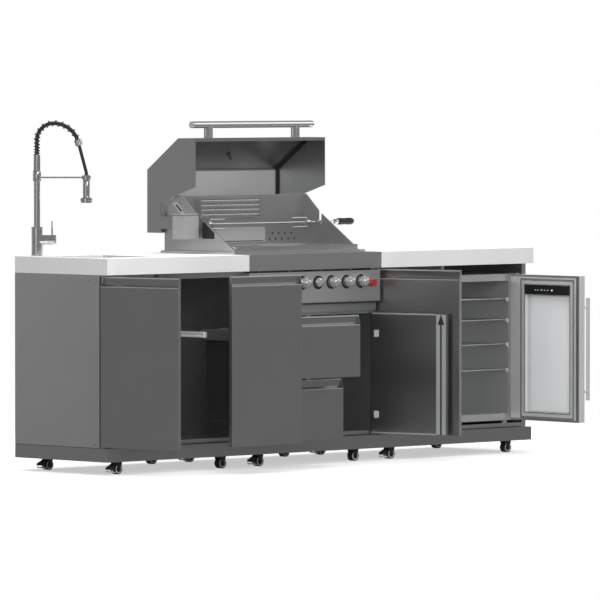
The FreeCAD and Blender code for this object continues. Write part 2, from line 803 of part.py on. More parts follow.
def waste_pull_out():
    """The pull-out front with the frame that carries the bin, and the bin."""
    front = front_panel("waste_front", "waste_left", "waste_right", "front_bottom", "front_top")
    wall_left = "waste_partition + panel"
    wall_right = "grill_left - panel"
    left = f"{wall_left} + runner_width + 2 * fit_gap"
    right = f"{wall_right} - runner_width - 2 * fit_gap"
    back = "front_back + waste_frame_depth"
    frame = block("waste_frame", (left, right), ("front_back", back),
                  ("waste_frame_foot", "waste_frame_top"))
    ledge = "waste_frame_foot + bin_wall"
    hollow = block("waste_hollow", (f"{left} + bin_wall", f"{right} - bin_wall"),
                   ("front_back + bin_wall", f"{back} - bin_wall"), (ledge, "waste_frame_top"))
    middle = f"(({left}) + ({right})) / 2"
    bin_front = "front_back + waste_frame_depth / 2 - bin_depth / 2"
    bin_side = (f"{middle} - bin_width / 2", f"{middle} + bin_width / 2")
    bin_span = (bin_front, f"{bin_front} + bin_depth")

    def grown(span, size):
        return (f"{span[0]} - {size}", f"{span[1]} + {size}")

    hole = block("waste_hole", grown(bin_side, "fit_gap"), grown(bin_span, "fit_gap"),
                 ("waste_frame_foot", "waste_frame_top"))
    bars = runner_bars("waste", wall_left, wall_right, "waste_runner_height", f"{back} - waste_bar_overlap",
                       "waste_bar_length")
    node("waste_pull_out", fuse("waste_solid", front, cut("waste_ring", frame, hollow, hole), *bars),
         turn=pull("waste_travel"))
    body = block("bin_body", bin_side, bin_span, ("bin_bottom", ledge))
    brim = block("bin_brim", grown(bin_side, "bin_rim"), grown(bin_span, "bin_rim"),
                 (ledge, f"{ledge} + bin_wall"))
    inside = block("bin_inside", grown(bin_side, "-bin_wall"), grown(bin_span, "-bin_wall"),
                   ("bin_bottom + bin_wall", f"{ledge} + bin_wall"))
    node("waste_bin", cut("bin", fuse("bin_solid", body, brim), inside), turn=pull("waste_travel"))


def tap_turn():
    """The place of the tap, with its spout swung out over the bowl."""
    return Placement(Vector(number("tap_across"), number("tap_back"), 0),
                     Rotation(Vector(0, 0, 1), -number("tap_angle")))


TAP = ("0", "0")
BASE_TOP = "(worktop_top + tap_base_height)"
BARREL = "(worktop_top + barrel_height)"


def tap_body():
    """The fixed base of the tap with its shank and the barrel of the lever."""
    shank = rod("tap_shank", "z", TAP, ("worktop_top - tap_shank_length", "worktop_top"),
                "tap_shank_radius")
    base = rod("tap_base", "z", TAP, ("worktop_top", BASE_TOP), "tap_base_radius")
    barrel = rod("tap_barrel", "x", ("0", BARREL), ("0", "barrel_end"), "barrel_radius")
    spigot = rod("tap_spigot_bore", "z", TAP, (f"{BASE_TOP} - tap_spigot_length - pin_end_gap", BASE_TOP),
                 "tap_spigot_radius + running_fit")
    shaft = rod("tap_shaft_bore", "x", ("0", BARREL), ("barrel_end - lever_shaft_length - pin_end_gap",
                                                       "barrel_end"),
                "lever_shaft_radius + running_fit")
    node("tap_body", cut("tap_base_bored", fuse("tap_base_solid", shank, base, barrel), spigot, shaft),
         turn=tap_turn())


def tap_lever():
    """The end cap that turns on the barrel, with its upright pin."""
    cap = rod("lever_cap", "x", ("0", BARREL), ("barrel_end + fit_gap", "lever_end"), "barrel_radius")
    shaft = rod("lever_shaft", "x", ("0", BARREL),
                ("barrel_end - lever_shaft_length", "lever_end - weld_overlap"),
                "lever_shaft_radius")
    pin = rod("lever_pin", "z", ("lever_pin_out", "0"),
              (BARREL, f"{BARREL} + barrel_radius + lever_pin_height"), "lever_pin_radius")
    node("tap_lever", fuse("lever_solid", cap, shaft, pin), turn=tap_turn())


def tap_arm():
    """The part that swivels: riser, clip collar, wound sleeve, support rod and holder ring."""
    reach = "head_reach"
    spigot = rod("arm_spigot", "z", TAP, (f"{BASE_TOP} - tap_spigot_length", f"{BASE_TOP} + weld_overlap"),
                 "tap_spigot_radius")
    riser = rod("arm_riser", "z", TAP, (f"{BASE_TOP} + fit_gap", "tap_top"), "tap_riser_radius")
    collar = rod("arm_collar", "z", TAP, ("tap_top - tap_collar_height", "tap_top"), "tap_collar_radius")
    coil = rod("arm_coil", "z", TAP, ("tap_top", "tap_top + tap_coil_height"), "tap_coil_radius")
    level = "head_top - holder_drop"
    ring_radius = "spray_radius + fit_gap"
    support = rod("arm_support", "x", ("0", level),
                  ("0", f"{reach} - {ring_radius} - holder_ring_wall / 2"),
                  "holder_rod_radius")
    span = (f"{level} - holder_ring_height / 2", f"{level} + holder_ring_height / 2")
    ring = rod("arm_ring", "z", (reach, "0"), span, f"{ring_radius} + holder_ring_wall")
    hole = rod("arm_ring_hole", "z", (reach, "0"), span, ring_radius)
    solid = fuse("arm_solid", spigot, riser, collar, coil, support, cut("arm_holder", ring, hole))
    node("tap_arm", solid, turn=tap_turn())


def spray_head():
    """The spray head with its flared nozzle."""
    reach = ("head_reach", "0")
    foot = "(head_top - spray_height)"
    grip = rod("spray_grip", "z", reach, (foot, "head_top"), "spray_radius")
    nozzle = rod("spray_nozzle", "z", reach, (f"{foot} - nozzle_height - nozzle_neck",
                                              f"{foot} - nozzle_neck"),
                 "nozzle_radius")
    neck = DOC.addObject("Part::Cone", "spray_neck")
    bind(neck, "Radius1", "nozzle_radius")
    bind(neck, "Radius2", "spray_radius")
    bind(neck, "Height", "nozzle_neck")
    bind(neck, ".Placement.Base.x", "head_reach")
    bind(neck, ".Placement.Base.z", f"{foot} - nozzle_neck")
    node("spray_head", fuse("spray_solid", grip, nozzle, neck), turn=tap_turn())


def pipe(path, radius):
    """A round tube along a path of straight runs and tangent arcs that starts upright."""
    wire = Part.Wire(path)
    ring = Part.Wire(Part.makeCircle(radius, wire.Vertexes[0].Point, Vector(0, 0, 1)))
    shape = wire.makePipeShell([ring], True, False)
    expected = math.pi * radius * radius * wire.Length
    if abs(shape.Volume - expected) > 0.01 * expected:
        raise RuntimeError("the hose lost part of its route")
    return shape


def bend(centre, radius, first, last):
    """An arc in the plane of the spout; angles in degrees from the outward direction."""
    points = []
    for angle in (first, (first + last) / 2, last):
        turned = math.radians(angle)
        points.append(centre + Vector(radius * math.cos(turned), 0, radius * math.sin(turned)))
    return Part.Arc(*points).toShape(), points[0], points[-1]


def tap_hose():
    """The sprung arch, its end collar and the hose down to the head, along the real route."""
    slope = number("arch_slope")
    start = Vector(0, 0, number("tap_top + tap_coil_height"))
    first_radius = number("arch_first_radius")
    rise_end = start + Vector(0, 0, number("arch_rise"))
    first, _, crown = bend(rise_end + Vector(first_radius, 0, 0), first_radius, 180, 90)
    second_radius = number("arch_second_radius")
    second, _, arch_end = bend(crown - Vector(0, 0, second_radius), second_radius, 90, 90 - slope)
    spring = pipe([Part.LineSegment(start, rise_end).toShape(), first, second],
                  number("arch_spring_radius"))
    down = Vector(math.cos(math.radians(slope)), 0, -math.sin(math.radians(slope)))
    collar = Part.makeCylinder(number("arch_collar_radius"), number("arch_collar_length"), arch_end, down)
    last_radius = number("arch_last_radius")
    head_across = number("head_reach")
    last_centre = Vector(head_across - last_radius, 0, number("head_top"))
    last, bend_start, hose_end = bend(last_centre, last_radius, 90 - slope, 0)
    run = Part.LineSegment(arch_end, bend_start).toShape()
    wire = Part.Wire([run, last])
    ring = Part.Wire(Part.makeCircle(number("hose_radius"), arch_end, down))
    hose = wire.makePipeShell([ring], True, False)
    feature = DOC.addObject("Part::Feature", "hose_shape")
    feature.Shape = spring.fuse([collar, hose]).removeSplitter()
    node("tap_hose", feature, turn=tap_turn())


def firebox():
    """The firebox with its tub, base rim, side plates, back wall, lamp plate, ledges and hood pins."""
    tub_back = "firebox_back + firebox_sheet"
    inner_left = "fire_left + firebox_sheet"
    inner_right = "fire_right - firebox_sheet"
    inner_front = "firebox_front + firebox_sheet"
    tub = block("fire_tub", ("fire_left", "fire_right"), ("firebox_front", tub_back),
                ("firebox_bottom", "fire_rim"))
    rim = block("fire_rim_plate", ("grill_left + control_side_gap", "grill_right - control_side_gap"),
                ("base_rim_front", "rear_cover_back"), ("worktop_top", "fire_rim"))
    inside = block("fire_inside", (inner_left, inner_right), (inner_front, "firebox_back"),
                   ("firebox_bottom + firebox_sheet", "fire_rim"))
    drain = block("fire_drain",
                  ("grill_middle - drip_slot_width / 2", "grill_middle + drip_slot_width / 2"),
                  ("tray_middle - drip_slot_depth / 2", "tray_middle + drip_slot_depth / 2"),
                  ("firebox_bottom", "firebox_bottom + firebox_sheet"))
    holes = [rod(f"fire_hole_{index}", "y", (place, "burner_height"), ("firebox_front", inner_front),
                 "burner_radius + fit_gap") for index, place in enumerate(BURNERS)]
    bowl = cut("fire_bowl", fuse("fire_bowl_solid", tub, rim), inside, drain, *holes)
    profile = (("firebox_front", "fire_rim"), ("spit_back", "plate_nose_height"),
               ("plate_peak_front", "plate_peak_height"), ("plate_peak_back", "plate_peak_height"),
               ("plate_shoulder_back", "plate_shoulder_height"), ("plate_heel_back", "plate_heel_height"),
               ("rear_cover_back", "rear_cover_top"), ("rear_cover_back", "fire_rim"))
    notch = ("spit_back - notch_width / 2", "spit_back + notch_width / 2")
    pieces = [bowl]
    for name, start in (("left", "fire_left"), ("right", inner_right)):
        plate = outline(f"fire_{name}", "YZ", profile, start, "firebox_sheet")
        slot = block(f"fire_{name}_notch", (start, f"{start} + firebox_sheet"), notch,
                     ("spit_height - spit_bush_radius - fit_gap", "plate_peak_height"))
        pieces.append(cut(f"fire_{name}_plate", plate, slot))
    pieces.append(block("fire_wall", (inner_left, inner_right), ("firebox_back", tub_back),
                        ("fire_rim", "plate_peak_height")))
    pieces.append(block("fire_cover", (inner_left, inner_right),
                        ("rear_cover_back - firebox_sheet", "rear_cover_back"),
                        ("fire_rim", "rear_cover_top")))
    pieces.append(block("fire_cover_lid", (inner_left, inner_right), (tub_back, "rear_cover_back"),
                        ("rear_cover_top - firebox_sheet", "rear_cover_top")))
    pieces.append(block("fire_lamp", ("lamp_left", "lamp_left + lamp_width"),
                        ("firebox_back - lamp_proud", "firebox_back"),
                        ("lamp_bottom", "lamp_bottom + lamp_height")))
    ledge = ("grate_top - grate_height - firebox_sheet", "grate_top - grate_height")
    pieces.append(block("fire_front_ledge", (inner_left, inner_right),
                        (inner_front, f"{inner_front} + grate_ledge"), ledge))
    pieces.append(block("fire_back_ledge", (inner_left, inner_right),
                        ("firebox_back - grate_ledge", "firebox_back"), ledge))
    pivot = ("hood_pivot_back", "hood_pivot_height")
    reach = "hood_pin_reach"
    pieces.append(rod("fire_left_pin", "x", pivot, (f"hood_left - {reach}", inner_left), "hood_pin_radius"))
    pieces.append(rod("fire_right_pin", "x", pivot, (inner_right, f"hood_right + {reach}"),
                      "hood_pin_radius"))
    node("firebox", fuse("fire_solid", *pieces))


def grill_burners():
    """The gas rail with its valves and burner tubes, and the ribbed rear burner."""
    rail_height = "knob_height"
    rail_ends = (BURNERS[0], "rear_knob_across")
    pieces = [rod("gas_rail", "x", ("rail_back", rail_height), rail_ends, "rail_radius")]
    for index, place in enumerate(BURNERS):
        pieces.append(rod(f"burner_riser_{index}", "z", (place, "rail_back"),
                          (rail_height, "burner_height"),
                          "rail_radius - rail_wall"))
        pieces.append(rod(f"burner_{index}", "y", (place, "burner_height"),
                          ("rail_back - rail_radius", "firebox_back - burner_end_gap"), "burner_radius"))
    bores = []
    for label, across, height in KNOBS:
        pieces.append(rod(f"valve_{label}", "y", (across, height), ("valve_front", "rail_back"),
                          "valve_radius"))
        bores.append(rod(f"valve_bore_{label}", "y", (across, height),
                         ("valve_front", "control_face + knob_stem_length + pin_end_gap"),
                         "knob_stem_radius + running_fit"))
    gas = cut("gas_bored", fuse("gas_solid", *pieces), *bores)
    low = "rear_burner_bottom"
    back = ("firebox_back - rear_burner_proud", "firebox_back")
    across = ("rear_burner_left", "rear_burner_left + rear_burner_width")
    frame = block("rear_burner_block", across, back, (low, f"{low} + rear_burner_height"))
    slots = []
    for index in range(4):
        foot = f"{low} + rear_burner_edge + {index} * (rear_burner_height - rear_burner_edge) / 4"
        slots.append(block(f"rear_burner_slot_{index}",
                           ("rear_burner_left + rear_burner_edge",
                            "rear_burner_left + rear_burner_width - rear_burner_edge"),
                           ("firebox_back - rear_burner_proud",
                            "firebox_back - rear_burner_proud + rear_burner_edge"),
                           (foot,
                            f"{foot} + (rear_burner_height - rear_burner_edge) / 4 - rear_burner_edge")))
    node("grill_burners", gas, cut("rear_burner", frame, *slots))


def cooking_grates():
    """Three grates that rest on the ledges of the firebox."""
    left = "(fire_left + firebox_sheet + fit_gap)"
    width = "((fire_right - fire_left - 2 * firebox_sheet - 2 * fit_gap - 2 * grate_gap) / 3)"
    front = "firebox_front + firebox_sheet + fit_gap"
    back = "firebox_back - fit_gap"
    bars = round(number(f"({width} - 2 * grate_frame) / grate_bar_pitch")) - 1
    grates = []
    for index in range(3):
        start = f"{left} + {index} * ({width} + grate_gap)"
        end = f"{start} + {width}"
        ring = block(f"grate_{index}", (start, end), (front, back),
                     ("grate_top - grate_height", "grate_top"))
        hollow = block(f"grate_hollow_{index}", (f"{start} + grate_frame", f"{end} - grate_frame"),
                       (f"{front} + grate_frame", f"{back} - grate_frame"),
                       ("grate_top - grate_height", "grate_top"))
        wires = [rod(f"grate_{index}_bar_{bar}", "y",
                     (f"{start} + grate_frame + {bar + 1} * ({width} - 2 * grate_frame) / {bars + 1}",
                      "grate_top - grate_bar_radius"),
                     (f"{front} + grate_frame / 2", f"{back} - grate_frame / 2"), "grate_bar_radius")
                 for bar in range(bars)]
        grates.append(fuse(f"grate_solid_{index}", cut(f"grate_ring_{index}", ring, hollow), *wires))
    node("cooking_grates", *grates)


def control_panel():
    """The proud panel under the fascia with its bezels and the holes of the knobs and the igniter."""
    across = ("grill_left + control_side_gap", "grill_right - control_side_gap")
    shell_block = block("control_block", across, ("control_face", "cabinet_setback"),
                        ("control_bottom", "control_top"))
    inside = block("control_inside", (f"{across[0]} + control_sheet", f"{across[1]} - control_sheet"),
                   ("control_face + control_sheet", "cabinet_setback"),
                   ("control_bottom + control_sheet", "control_top - control_sheet"))
    rings = []
    holes = []
    for label, place, height in KNOBS:
        if label != "rear":
            ends = ("control_face - bezel_proud", "control_face")
            rings.append(tube(f"bezel_{label}", "y", (place, height), ends, "bezel_radius",
                                   "bezel_radius - bezel_width"))
        holes.append(rod(f"control_hole_{label}", "y", (place, height),
                         ("control_face", "control_face + control_sheet"),
                         "knob_stem_radius + stem_hole_gap"))
    holes.append(rod("control_hole_igniter", "y", ("igniter_across", "knob_height"),
                     ("control_face", "control_face + control_sheet"), "igniter_radius + running_fit"))
    panel = cut("control_shell", shell_block, inside, *holes)
    node("control_panel", fuse("control_solid", panel, *rings))


def knobs():
    """The ball knobs of the main burners and the lobed knob of the rear burner, each with its stem."""
    for label, across, height in KNOBS:
        stem = rod(f"stem_{label}", "y", (across, height),
                   ("control_face - knob_gap - knob_neck", "control_face + knob_stem_length"),
                   "knob_stem_radius")
        face = "control_face - knob_gap"
        if label == "rear":
            pieces = [rod("rear_core", "y", (across, height), (f"{face} - rear_knob_length", face),
                          "rear_core_radius")]
            for lobe in range(REAR_LOBES):
                turned = math.tau * lobe / REAR_LOBES
                pieces.append(rod(f"rear_lobe_{lobe}", "y",
                                  (f"{across} + rear_lobe_offset * {math.cos(turned):.4f}",
                                   f"{height} + rear_lobe_offset * {math.sin(turned):.4f}"),
                                  (f"{face} - rear_knob_length", face),
                                  "rear_knob_radius - rear_lobe_offset"))
            node("rear_burner_knob", fuse("rear_knob_solid", stem, *pieces))
        else:
            grip = ball(f"ball_{label}", (across, f"{face} - knob_radius", height), "knob_radius")
            neck = rod(f"neck_{label}", "y", (across, height), (f"{face} - knob_neck", face),
                       "knob_neck_radius")
            node(f"burner_knob_{label}", fuse(f"knob_solid_{label}", stem, grip, neck))


def igniter_button():
    """The push-button of the igniter, guided by its hole in the panel."""
    node("igniter_button", rod("igniter", "y", ("igniter_across", "knob_height"),
                               ("control_face - igniter_proud", "control_face + igniter_guide"),
                               "igniter_radius"))


def drip_tray():
    """The tray that slides on the deck under the firebox."""
    front = block("tray_front", ("grill_left + 2 * control_side_gap", "grill_right - 2 * control_side_gap"),
                  ("front_face", "front_face + tray_front_sheet"),
                  ("tray_front_bottom", "tray_front_bottom + tray_front_height"))
    start = "front_face + tray_front_sheet"
    foot = "deck_top + fit_gap"
    body = block("tray_body", ("grill_middle - tray_width / 2", "grill_middle + tray_width / 2"),
                 (start, f"{start} + tray_depth"), (foot, f"{foot} + tray_height"))
    inside = block("tray_inside",
                   ("grill_middle - tray_width / 2 + tray_wall",
                    "grill_middle + tray_width / 2 - tray_wall"),
                   (f"{start} + tray_wall", f"{start} + tray_depth - tray_wall"),
                   (f"{foot} + tray_wall", f"{foot} + tray_height"))
    node("drip_tray", fuse("tray_solid", front, cut("tray", body, inside)))


def hood_turn():
    """The swing of the hood from closed to standing open."""
    centre = Vector(0, number("hood_pivot_back"), number("hood_pivot_height"))
    return Placement(Vector(), Rotation(Vector(1, 0, 0), -number("hood_open_angle")), centre)


def hood_shell():
    """The hood: two side plates with pivot arms, and the bent skin between them."""
    arm_front = "hood_pivot_back - hood_arm_width / 2"
    arm_back = "hood_pivot_back + hood_arm_width / 2"
    side = (("hood_front", "hood_bottom"), ("hood_front", "hood_brow"), ("hood_top_front", "hood_top"),
            ("hood_back", "hood_top"), ("hood_back", "hood_back_bottom"), (arm_back, "hood_back_bottom"),
            (arm_back, "hood_arm_foot"), (arm_front, "hood_arm_foot"), (arm_front, "hood_back_bottom"),
            ("hood_side_back_top", "hood_back_bottom"), ("hood_side_back_foot", "hood_bottom"))
    pieces = []
    for name, start in (("left", "hood_left"), ("right", "hood_right - hood_sheet")):
        plate = outline(f"hood_{name}", "YZ", side, start, "hood_sheet")
        hole = rod(f"hood_{name}_hole", "x", ("hood_pivot_back", "hood_pivot_height"),
                   (start, f"{start} + hood_sheet"), "hood_pin_radius + running_fit")
        pieces.append(cut(f"hood_{name}_plate", plate, hole))
    run = "(hood_top_front - hood_front)"
    rise = "(hood_top - hood_brow)"
    slant = f"sqrt({run} * {run} + {rise} * {rise})"
    brow_drop = f"hood_sheet * ({slant} - {rise}) / {run}"
    top_shift = f"hood_sheet * ({slant} - {run}) / {rise}"
    skin = (("hood_front", "hood_bottom"), ("hood_front", "hood_brow"), ("hood_top_front", "hood_top"),
            ("hood_back", "hood_top"), ("hood_back", "hood_back_bottom"),
            ("hood_back - hood_sheet", "hood_back_bottom"),
            ("hood_back - hood_sheet", "hood_top - hood_sheet"),
            (f"hood_top_front + {top_shift}", "hood_top - hood_sheet"),
            ("hood_front + hood_sheet", f"hood_brow - {brow_drop}"),
            ("hood_front + hood_sheet", "hood_bottom"))
    pieces.append(outline("hood_skin", "YZ", skin, "hood_left", "hood_width"))
    pieces.append(block("hood_lip_plate", ("hood_left", "hood_right"),
                        ("hood_front", "hood_front + hood_lip"),
                        ("hood_bottom", "hood_bottom + hood_sheet")))
    shell_solid = fuse("hood_solid", *pieces)
    stem = leaning_rod("hood_dial_hole", "thermometer_stem_radius + fit_gap", "3 * hood_lip", "-hood_lip")
    node("hood_shell", cut("hood_drilled", shell_solid, stem), turn=hood_turn())


def leaning_rod(name, radius, length, start):
    """A cylinder square to the slanting panel of the hood; start counts outwards from its outer face."""
    feature = DOC.addObject("Part::Cylinder", name)
    run = number("hood_top_front - hood_front")
    rise = number("hood_top - hood_brow")
    feature.Placement = Placement(Vector(), Rotation(Vector(0, 0, 1), Vector(0, -rise, run)))
    bind(feature, "Radius", radius)
    bind(feature, "Height", length)
    slant = "sqrt((hood_top_front - hood_front)^2 + (hood_top - hood_brow)^2)"
    bind(feature, ".Placement.Base.x", "grill_middle")
    bind(feature, ".Placement.Base.y",
         f"(hood_front + hood_top_front) / 2 - ({start}) * (hood_top - hood_brow) / {slant}")
    bind(feature, ".Placement.Base.z",
         f"(hood_brow + hood_top) / 2 + ({start}) * (hood_top_front - hood_front) / {slant}")
    return feature


def thermometer():
    """The dial on the hood with its stem and nut inside."""
    dial = leaning_rod("dial", "thermometer_radius", "thermometer_depth", "0")
    stem = leaning_rod("dial_stem", "thermometer_stem_radius", "thermometer_stem_length + weld_overlap",
                       "-thermometer_stem_length")
    nut = leaning_rod("dial_nut", "thermometer_nut_radius", "hood_sheet", "-2 * hood_sheet")
    node("thermometer", fuse("dial_solid", dial, stem, nut), turn=hood_turn())


def hood_handle():
    """The bar across the front of the hood on its two posts."""
    back = "hood_front - handle_out"
    height = "hood_bottom + handle_drop"
    bar = rod("handle_bar", "x", (back, height),
              ("grill_middle - handle_length / 2", "grill_middle + handle_length / 2"), "handle_radius")
    posts = [rod(f"handle_post_{side}", "y", (f"grill_middle {side_sign} handle_post_spacing / 2", height),
                 (back, "hood_front"), "handle_post_radius")
             for side, side_sign in (("left", "-"), ("right", "+"))]
    node("hood_handle", fuse("handle_solid", bar, *posts), turn=hood_turn())


def rotisserie():
    """The motor with its bracket, and the spit with its bushes, forks and handle."""
    box = block("motor_box", ("motor_right - motor_width", "motor_right"),
                ("spit_back - motor_depth / 2", "spit_back + motor_depth / 2"),
                ("motor_bottom", "motor_bottom + motor_height"))
    arm_back = "spit_back + motor_depth / 2"
    middle = "(motor_bottom + motor_height / 2)"
    bracket = block("motor_bracket", ("motor_right", "fire_left"),
                    ("spit_back + spit_bush_radius + motor_bracket_clearance", arm_back),
                    (f"{middle} - motor_bracket_height / 2", f"{middle} + motor_bracket_height / 2"))
    line = ("spit_back", "spit_height")
    socket = rod("motor_socket", "x", line, ("motor_right - motor_socket_depth", "motor_right"),
                 "spit_radius + running_fit")
    node("rotisserie_motor", cut("motor", fuse("motor_solid", box, bracket), socket))
    pieces = [rod("spit_rod", "x", line, ("motor_right - motor_socket_depth + pin_end_gap",
                                   "spit_handle_start + weld_overlap"),
                  "spit_radius"),
              rod("spit_handle", "x", line, ("spit_handle_start", "spit_handle_end"), "spit_handle_radius")]
    for name, plate in (("left", "fire_left"), ("right", "fire_right - firebox_sheet")):
        centre = f"{plate} + firebox_sheet / 2"
        pieces.append(rod(f"spit_bush_{name}", "x", line,
                          (f"{centre} - spit_bush_length / 2", f"{centre} + spit_bush_length / 2"),
                          "spit_bush_radius"))
    forks = (("left", "fork_left", "fork_left + fork_hub_length",
              "fork_left + fork_hub_length + fork_prong_length"),
             ("right", "fork_right - fork_hub_length", "fork_right",
              "fork_right - fork_hub_length - fork_prong_length"))
    for name, start, end, tip in forks:
        pieces.append(rod(f"fork_{name}_hub", "x", line, (start, end), "fork_hub_radius"))
        bar = ("spit_height - fork_spread - fork_prong_radius",
               "spit_height + fork_spread + fork_prong_radius")
        pieces.append(block(f"fork_{name}_bar", (start, end),
                            ("spit_back - fork_prong_radius", "spit_back + fork_prong_radius"), bar))
        ends = (start, tip) if name == "left" else (tip, end)
        for side, sign in (("low", "-"), ("high", "+")):
            pieces.append(rod(f"fork_{name}_{side}", "x",
                              ("spit_back", f"spit_height {sign} fork_spread"), ends,
                              "fork_prong_radius"))
    node("spit", fuse("spit_solid", *pieces))


def fridge_body():
    """The fridge cabinet with its shelf ledges, feet and the brackets of its door."""
    outside = block("fridge_block", ("fridge_left", "fridge_right"),
                    ("cabinet_setback", "cabinet_setback + fridge_depth"), ("fridge_bottom", "fridge_top"))
    inside = block("fridge_inside", ("fridge_left + fridge_wall", "fridge_right - fridge_wall"),
                   ("cabinet_setback", "cabinet_setback + fridge_depth - fridge_wall"),
                   ("fridge_bottom + fridge_wall", "fridge_top - fridge_wall"))
    pieces = [cut("fridge_shell", outside, inside)]
    for shelf in SHELVES:
        spans = (("left", "fridge_left + fridge_wall", "fridge_left + fridge_wall + shelf_ledge"),
                 ("right", "fridge_right - fridge_wall - shelf_ledge", "fridge_right - fridge_wall"))
        for side, start, end in spans:
            pieces.append(block(f"ledge_{side}_{shelf}", (start, end), (SHELF_FRONT, SHELF_BACK),
                                (f"{shelf} - shelf_ledge", shelf)))
    inset = "2 * fridge_foot_radius"
    for across in (f"fridge_left + {inset}", f"fridge_right - {inset}"):
        for back in (f"cabinet_setback + {inset}", f"cabinet_setback + fridge_depth - {inset}"):
            pieces.append(rod(f"fridge_foot_{len(pieces)}", "z", (across, back),
                              ("plinth_height + panel", "fridge_bottom"), "fridge_foot_radius"))
    wide = ("fridge_right - 2 * fridge_pin_inset", "fridge_right")
    line = ("fridge_pivot_across", "fridge_pivot_line")
    plates = (("low", "fridge_bottom", "fridge_bottom + pivot_plate", "cabinet_setback",
               ("fridge_bottom", "fridge_bottom + pivot_plate + pin_end_gap + pivot_pin_depth")),
              ("high", "fridge_top", "fridge_top + pivot_plate", "cabinet_setback + 2 * fridge_pin_inset",
               ("fridge_top - pin_end_gap - pivot_pin_depth", "fridge_top + pivot_plate")))
    for name, foot, top, back, pin in plates:
        pieces.append(block(f"fridge_{name}_plate", wide, ("fridge_pivot_line - fridge_pin_inset", back),
                            (foot, top)))
        pieces.append(rod(f"fridge_{name}_pin", "z", line, pin, "fridge_pin_radius"))
    node("fridge_body", fuse("fridge_solid", *pieces))


def fridge_shelves():
    """Four wire racks that lie on the ledges."""
    left = "fridge_left + fridge_wall + rack_side_gap"
    right = "fridge_right - fridge_wall - rack_side_gap"
    radius = "shelf_wire_radius"
    racks = []
    for shelf in SHELVES:
        height = f"{shelf} + {radius}"
        wires = [rod(f"rack_{shelf}_{side}", "x", (place, height), (left, right), radius)
                 for side, place in (("front", f"{SHELF_FRONT} + rack_bar_inset"),
                                     ("back", f"{SHELF_BACK} - rack_bar_inset"))]
        count = SIZES["shelf_wire_count"]
        for index in range(count):
            pitch = f"({right} - ({left}) - 2 * rack_end_inset) / {count - 1}"
            across = f"{left} + rack_end_inset + {index} * {pitch}"
            wires.append(rod(f"rack_{shelf}_wire_{index}", "y", (across, height),
                             (f"{SHELF_FRONT} + rack_wire_inset", f"{SHELF_BACK} - rack_wire_inset"),
                             radius))
        racks.append(fuse(f"rack_{shelf}", *wires))
    node("fridge_shelves", *racks)


def fridge_door():
    """The framed glass door of the fridge with its bar handle, and the pane."""
    foot = "fridge_bottom + pivot_plate + pin_end_gap"
    top = "fridge_top - pin_end_gap"
    slab = block("cold_door_slab", ("fridge_left", "fridge_right"),
                 ("fridge_door_face", "fridge_door_back"),
                 (foot, top))
    glass = ("fridge_left + glass_free_margin", "fridge_right - glass_hinge_margin")
    rise = ("glass_bottom", "glass_top")
    window = block("cold_window", (f"{glass[0]} + glass_rebate", f"{glass[1]} - glass_rebate"),
                   ("fridge_door_face", "fridge_door_back"),
                   (f"{rise[0]} + glass_rebate", f"{rise[1]} - glass_rebate"))
    seat = block("cold_rebate", glass, ("fridge_door_face + glass_front", "fridge_door_back"), rise)
    bores = pivot_bores("cold_door", "fridge_pivot_across", "fridge_pivot_line", foot, top,
                        "fridge_pin_radius")
    door = cut("cold_door", slab, window, seat, *bores)
    bar_line = ("fridge_left + bar_handle_inset", "fridge_door_face - bar_handle_out")
    bar = rod("cold_bar", "z", bar_line, ("bar_handle_bottom", "bar_handle_top"), "bar_handle_radius")
    posts = [rod(f"cold_post_{side}", "y", (bar_line[0], height),
                 (bar_line[1], "fridge_door_face + weld_overlap"),
                 "bar_post_radius")
             for side, height in (("low", "bar_handle_bottom + bar_post_inset"),
                                  ("high", "bar_handle_top - bar_post_inset"))]
    turn = swing("fridge_pivot_across", "fridge_pivot_line", "fridge_door_angle")
    node("fridge_door", fuse("cold_door_solid", door, bar, *posts), turn=turn)
    pane = block("cold_pane", (f"{glass[0]} + fit_gap", f"{glass[1]} - fit_gap"),
                 ("fridge_door_face + glass_front", "fridge_door_face + glass_front + glass_thickness"),
                 (f"{rise[0]} + fit_gap", f"{rise[1]} - fit_gap"))
    node("fridge_door_glass", pane, turn=turn)


def caster_fork(name, across, back, swivel):
    """A caster fork with its axle; a swivelling one has a round plate, a stem and a trailing wheel."""
    wheel = f"{across} + {'caster_trail' if swivel else '0'}"
    plate_top = "-fit_gap" if swivel else "0"
    plate_foot = f"{plate_top} - fork_plate"
    centre = "-(caster_height - wheel_radius)"
    inner = "(wheel_width / 2 + fit_gap)"
    pieces = []
    if swivel:
        pieces.append(rod(f"{name}_plate", "z", (across, back), (plate_foot, plate_top),
                          "caster_plate / 2"))
        pieces.append(rod(f"{name}_stem", "z", (across, back), (plate_foot, "swivel_stem_length"),
                          "swivel_stem_radius"))
    else:
        half = "caster_plate / 2"
        pieces.append(block(f"{name}_plate", (f"{across} - {half}", f"{across} + {half}"),
                            (f"{back} - {half}", f"{back} + {half}"), (plate_foot, plate_top)))
    for side, start, end in (("front", f"{back} - {inner} - fork_sheet", f"{back} - {inner}"),
                             ("rear", f"{back} + {inner}", f"{back} + {inner} + fork_sheet")):
        pieces.append(block(f"{name}_{side}_leg", (f"{wheel} - fork_leg", f"{wheel} + fork_leg"),
                            (start, end),
                            (f"{centre} - fork_leg", plate_foot)))
    pieces.append(rod(f"{name}_axle", "y", (wheel, centre),
                      (f"{back} - {inner} - fork_sheet", f"{back} + {inner} + fork_sheet"), "axle_radius"))
    return fuse(f"{name}_fork", *pieces)


